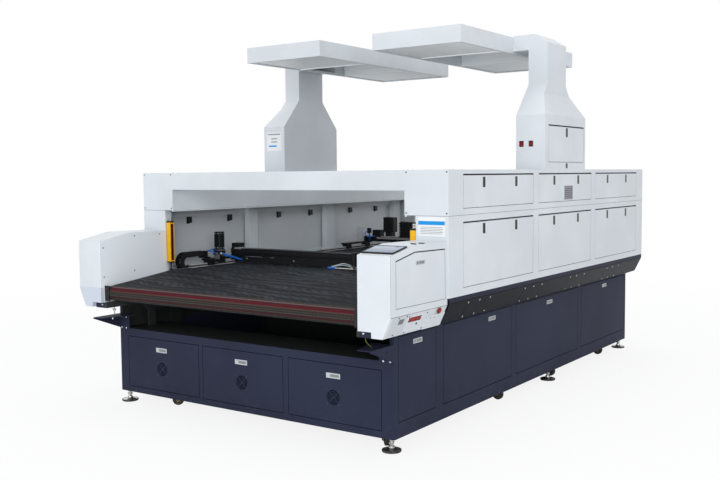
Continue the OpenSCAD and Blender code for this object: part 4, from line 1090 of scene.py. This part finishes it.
class CUTTER_OT_display(bpy.types.Operator):
    """Red segment digits behind the console's display window"""
    bl_idname = "cutter.display"
    bl_label = "Add Display Digits"

    def execute(self, context):
        rise = CONSOLE_SLOPE
        # a bar's own axes run along the machine, up the slope and out of it
        lie = Matrix(((0, rise.cos, rise.sin), (1, 0, 0), (0, rise.sin, -rise.cos))).to_4x4()

        def digits(bm):
            for place, digit in enumerate("08250"):
                y = -1.7175 + place * 0.0238
                for bar in LIT_BARS[digit]:
                    across, up, upright = DIGIT_BARS[bar]
                    size = (0.0020, 0.0072, 0.0006) if upright else (0.0078, 0.0020, 0.0006)
                    centre = Vector(rise.at(0.0856 + up * 0.0082, y + across * 0.0052, 0.0014))
                    eased_box(bm, size, 0.00025, 1, Matrix.Translation(centre) @ lie)
        solid("display_digits", digits, "glow_red")
        return {"FINISHED"}


# ---------- cable chain ----------
class CUTTER_OT_chain(bpy.types.Operator):
    """Cable chain: lower run in its tray, bend and upper run to the front gantry"""
    bl_idname = "cutter.chain"
    bl_label = "Add Cable Chain"

    def execute(self, context):
        group, pitch = chain_group(), sizes().link_pitch
        lower_links, upper_links = 36, 6
        x, low, front, radius = -1.084, 0.8272, -1.100, 0.050
        high, clamp = low + 2 * radius, front + upper_links * pitch
        lower = path_mesh("chain_lower", [[(x, front, low), (x, front + lower_links * pitch, low)]])
        grow("chain_lower_run", lower, group, ROOT, "black_plastic", Pitch=pitch)
        turns = [math.radians(a) for a in range(270, 89, -10)]
        bend = [(x, front + radius * math.cos(a), low + radius + radius * math.sin(a)) for a in turns]
        moving = path_mesh("chain_upper", [bend + [(x, clamp, high)]])
        chain = grow("chain_bend", moving, group, None, "black_plastic", Pitch=pitch)
        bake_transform(chain)
        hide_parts("drag_chain")
        return {"FINISHED"}


# ---------- hoses: given places, joined by smooth curves -------------------
FRONT_HOSES = [
    # from the cable chain to the gearbox
    [(-1.072, -0.908, 0.932), (-1.046, -0.918, 0.945), (-1.008, -0.924, 0.945), (-0.984, -0.906, 0.932),
     (-0.978, -0.878, 0.925)],
    [(-1.074, -0.896, 0.932), (-1.068, -0.850, 0.948), (-1.053, -0.815, 0.950), (-1.032, -0.806, 0.940),
     (-1.014, -0.812, 0.925)],
    # from the gearbox to the ledge of the beam
    [(-0.957, -0.872, 0.925), (-0.935, -0.866, 0.926), (-0.918, -0.830, 0.912), (-0.903, -0.780, 0.895),
     (-0.893, -0.740, 0.880), (-0.889, -0.7155, 0.872)],
    [(-0.957, -0.858, 0.912), (-0.940, -0.845, 0.910), (-0.925, -0.805, 0.900), (-0.912, -0.760, 0.885),
     (-0.904, -0.735, 0.874), (-0.903, -0.7155, 0.868)]]
HOSE_FITTINGS = [
    [(-0.956, -0.872, 0.925), (-0.948, -0.876, 0.926), (-0.940, -0.880, 0.928)],
    [(-0.956, -0.858, 0.912), (-0.947, -0.856, 0.912), (-0.938, -0.854, 0.913)],
    [(-0.978, -0.878, 0.925), (-0.979, -0.884, 0.926), (-0.980, -0.890, 0.928)]]
REAR_HOSES = [
    [(-0.960, 1.035, 0.990), (-0.975, 1.020, 0.978), (-0.978, 1.014, 0.955), (-0.962, 1.018, 0.938),
     (-0.935, 1.028, 0.932), (-0.908, 1.044, 0.940), (-0.900, 1.058, 0.936)],
    [(-0.951, 1.045, 0.900), (-0.946, 1.034, 0.930), (-0.952, 1.030, 0.962)]]
# in front of the front beam; the pale hoses end in its ledge
LEDGE_Y, HOSE_Y, TUBE_Y = -0.709, -0.7195, -0.733
PALE_HOSES = [
    [(-0.075, LEDGE_Y, 0.866), (-0.060, HOSE_Y, 0.862), (-0.045, HOSE_Y, 0.866), (-0.005, HOSE_Y, 0.876),
     (0.038, HOSE_Y, 0.886), (0.080, HOSE_Y, 0.880), (0.120, HOSE_Y, 0.871), (0.160, HOSE_Y, 0.868),
     (0.180, LEDGE_Y, 0.868)],
    [(-0.065, LEDGE_Y, 0.862), (-0.050, HOSE_Y, 0.861), (-0.020, HOSE_Y, 0.867), (0.030, HOSE_Y, 0.875),
     (0.070, HOSE_Y, 0.871), (0.110, HOSE_Y, 0.864), (0.150, HOSE_Y, 0.862), (0.170, LEDGE_Y, 0.863)]]
BLUE_FITTING = [(-0.083, TUBE_Y, 0.8538), (-0.050, TUBE_Y, 0.8538), (-0.020, TUBE_Y, 0.8538)]
BRIGHT_TUBE = [(-0.022, TUBE_Y, 0.8533), (0.075, TUBE_Y, 0.8533), (0.170, TUBE_Y, 0.8533)]
# one down from each light curtain to the deck, and a third across from the left one
CURTAIN_CABLES = [
    *([(side * x, y, z) for x, y, z in (
        (0.982, -1.332, 0.884), (0.982, -1.335, 0.868), (0.979, -1.330, 0.852), (0.968, -1.322, 0.842),
        (1.000, -1.300, 0.8415), (1.030, -1.296, 0.8415))] for side in (-1, 1)),
    [(-0.975, -1.322, 0.871), (-0.955, -1.312, 0.873), (-0.990, -1.270, 0.868), (-1.040, -1.215, 0.866)]]
# the belt's tension bolt and wing nut at the left arm, and the earth wire at the right one
TENSION_BOLT = [(-0.962, -1.850, 0.608), (-0.962, -1.850, 0.630), (-0.962, -1.850, 0.652)]
WING_NUT = [(-0.976, -1.851, 0.643), (-0.969, -1.850, 0.635), (-0.962, -1.850, 0.632),
            (-0.955, -1.850, 0.635), (-0.948, -1.851, 0.643)]
EARTH_WIRE = [(1.032, -1.893, 0.651), (1.034, -1.900, 0.640), (1.042, -1.896, 0.622), (1.050, -1.880, 0.606),
              (1.046, -1.862, 0.592), (1.040, -1.850, 0.588)]


class CUTTER_OT_hoses(bpy.types.Operator):
    """Air hoses and cables of the gantries and the light curtains, tension bolt and earth wire"""
    bl_idname = "cutter.hoses"
    bl_label = "Add Hoses"

    def execute(self, context):
        group, radius = tube_group(), sizes().hose_radius

        def tubes(name, lines, body, finish, radius):
            mesh = path_mesh(name, [rounded(line) for line in lines])
            grow(name, mesh, group, body, finish, Radius=radius)

        tubes("front_blue_hoses", FRONT_HOSES, "front_gantry", "hose", radius)
        tubes("hose_fittings", HOSE_FITTINGS, "front_gantry", "zinc", radius * 1.5)
        tubes("rear_blue_hoses", REAR_HOSES, "rear_gantry", "hose", radius * 0.9)
        tubes("pale_hoses", PALE_HOSES, "front_gantry", "pale_hose", radius * 0.7)
        tubes("blue_fitting", [BLUE_FITTING], "front_gantry", "hose", 0.0056)
        tubes("bright_tube", [BRIGHT_TUBE], "front_gantry", "zinc", 0.0050)
        tubes("curtain_cables", CURTAIN_CABLES, ROOT, "cable", 0.0032)
        tubes("tension_bolt", [TENSION_BOLT], ROOT, "zinc", 0.0045)
        tubes("wing_nut", [WING_NUT], ROOT, "dark_screw", 0.0030)
        tubes("earth_wire", [EARTH_WIRE], ROOT, "earth", 0.0019)
        return {"FINISHED"}


# ---------- stage ----------
# name, place, place aimed at, width and height, share of the key power, colour
LAMPS = (
    ("key", (-5.0, -13.5, 7.0), (0, 0, 1.0), (7, 5), 0.37, (1, 1, 1)),
    ("front", (10.5, -11.5, 4.2), (-0.3, 0, 1.3), (7, 4), 1.10, (0.97, 0.99, 1.0)),
    ("side", (13.0, -2.0, 7.5), (0, 0, 1.0), (8, 3), 0.05, (0.96, 0.98, 1.0)),
    ("top", (0.0, 1.0, 12.0), (0, 0.3, 0), (8, 9), 0.85, (1, 1, 1)),
    ("mouth", (3.0, -9.0, 1.3), (-0.6, -0.5, 1.1), (5, 1.6), 0.22, (0.95, 0.98, 1.0)))
CAMERA_AT = (3.698, -5.743, 1.486)
CAMERA_TURN, CAMERA_DIP, CAMERA_ROLL = 0.6113, 0.0707, -0.0089
SENSOR_WIDTH, LENS = 36.0, 45.98
FLOOR_Z = -0.0005


def lay_floor(scene):
    """White paper that keeps a faint shadow near the machine and runs into the backdrop"""
    s = sizes().floor_size / 2
    corners = [(x, y, FLOOR_Z) for x, y in ((-s, -s), (s, -s), (s, s), (-s, s))]
    mesh = bpy.data.meshes.new("floor")
    mesh.from_pydata(corners, [], [(0, 1, 2, 3)])
    floor = bpy.data.objects.new("floor", mesh)
    scene.collection.objects.link(floor)
    f = Finish("floor_paper")
    f.set(base=(0.90, 0.90, 0.90), rough=0.9)
    seen = f.node("ShaderNodeLightPath", {}, {}, "Is Camera Ray")
    away = (f.x * f.x + f.y * f.y).power(0.5).ramp(2.6, 8.0, 0.86, 1.0)
    glow = f.node("ShaderNodeEmission", {}, {0: (1, 1, 1, 1), 1: 1.0})
    both = f.node("ShaderNodeMixShader", {}, {0: seen * away, 1: Val(f, f.shader.outputs[0]), 2: glow})
    f.tree.links.new(both.socket, f.out.inputs[0])
    mesh.materials.append(f.material)


def light_world(scene):
    """A dim backdrop that looks white to the camera, in reflections and through glass"""
    world = bpy.data.worlds.new("studio")
    scene.world = world
    world.use_nodes = True
    tree = world.node_tree
    tree.nodes.clear()

    def background(colour, strength):
        n = tree.nodes.new("ShaderNodeBackground")
        n.inputs[0].default_value, n.inputs[1].default_value = (*colour, 1), strength
        return n.outputs[0]

    path = tree.nodes.new("ShaderNodeLightPath")
    rays = path.outputs["Is Camera Ray"]
    for more in ("Is Glossy Ray", "Is Transmission Ray"):
        add = tree.nodes.new("ShaderNodeMath")
        add.operation, add.use_clamp = "ADD", True
        tree.links.new(rays, add.inputs[0])
        tree.links.new(path.outputs[more], add.inputs[1])
        rays = add.outputs[0]
    mix = tree.nodes.new("ShaderNodeMixShader")
    for i, link in enumerate((rays, background((0.95, 0.975, 1.0), 0.66), background((1, 1, 1), 1.0))):
        tree.links.new(link, mix.inputs[i])
    tree.links.new(mix.outputs[0], tree.nodes.new("ShaderNodeOutputWorld").inputs[0])


def hang_lamps(scene):
    for name, at, toward, (width, height), share, colour in LAMPS:
        data = bpy.data.lights.new(name, "AREA")
        data.shape, data.size, data.size_y = "RECTANGLE", width, height
        data.energy, data.color = sizes().key_power * share, colour
        lamp = bpy.data.objects.new(name, data)
        scene.collection.objects.link(lamp)
        lamp.location = at
        lamp.rotation_euler = (Vector(toward) - Vector(at)).to_track_quat("-Z", "Y").to_euler()


def set_camera(scene):
    data = bpy.data.cameras.new("camera")
    data.sensor_width, data.lens, data.clip_end = SENSOR_WIDTH, LENS, 200.0
    cam = bpy.data.objects.new("camera", data)
    scene.collection.objects.link(cam)
    level = Vector((-math.sin(CAMERA_TURN), math.cos(CAMERA_TURN), 0)) * math.cos(CAMERA_DIP)
    forward = level - Vector((0, 0, math.sin(CAMERA_DIP)))
    right = forward.cross(Vector((0, 0, 1))).normalized()
    up = right.cross(forward)
    across = math.cos(CAMERA_ROLL) * right + math.sin(CAMERA_ROLL) * up
    upward = -math.sin(CAMERA_ROLL) * right + math.cos(CAMERA_ROLL) * up
    turn = Matrix((across, upward, -forward)).transposed().to_4x4()
    cam.matrix_world = Matrix.Translation(CAMERA_AT) @ turn
    scene.camera = cam


class CUTTER_OT_stage(bpy.types.Operator):
    """Floor, soft lights and camera"""
    bl_idname = "cutter.stage"
    bl_label = "Set the Stage"

    def execute(self, context):
        scene = context.scene
        for part in (lay_floor, light_world, hang_lamps, set_camera):
            part(scene)
        scene.view_settings.view_transform = "Standard"
        return {"FINISHED"}


class CUTTER_PT_panel(bpy.types.Panel):
    """The cutter's pieces, sizes and colours"""
    bl_label = "Laser Cutter"
    bl_idname = "CUTTER_PT_panel"
    bl_space_type = "VIEW_3D"
    bl_region_type = "UI"
    bl_category = "Laser Cutter"

    def draw(self, context):
        for group in (context.scene.cutter_colours, context.scene.cutter_sizes):
            box = self.layout.box()
            for name in group.bl_rna.properties.keys():
                if name not in ("rna_type", "name"):
                    box.prop(group, name)
        for operator in STEPS:
            self.layout.operator(operator.bl_idname)


STEPS = (CUTTER_OT_finishes, CUTTER_OT_screws, CUTTER_OT_plates, CUTTER_OT_display, CUTTER_OT_chain,
         CUTTER_OT_hoses, CUTTER_OT_stage)
CLASSES = (CutterColours, CutterSizes, *STEPS, CUTTER_PT_panel)


def register():
    for c in CLASSES:
        bpy.utils.register_class(c)
    bpy.types.Scene.cutter_colours = bpy.props.PointerProperty(type=CutterColours)
    bpy.types.Scene.cutter_sizes = bpy.props.PointerProperty(type=CutterSizes)


def unregister():
    del bpy.types.Scene.cutter_colours, bpy.types.Scene.cutter_sizes
    for c in reversed(CLASSES):
        bpy.utils.unregister_class(c)


def main():
    register()
    for operator in STEPS:
        area, name = operator.bl_idname.split(".")
        getattr(getattr(bpy.ops, area), name)()


if __name__ == "__main__":
    main()
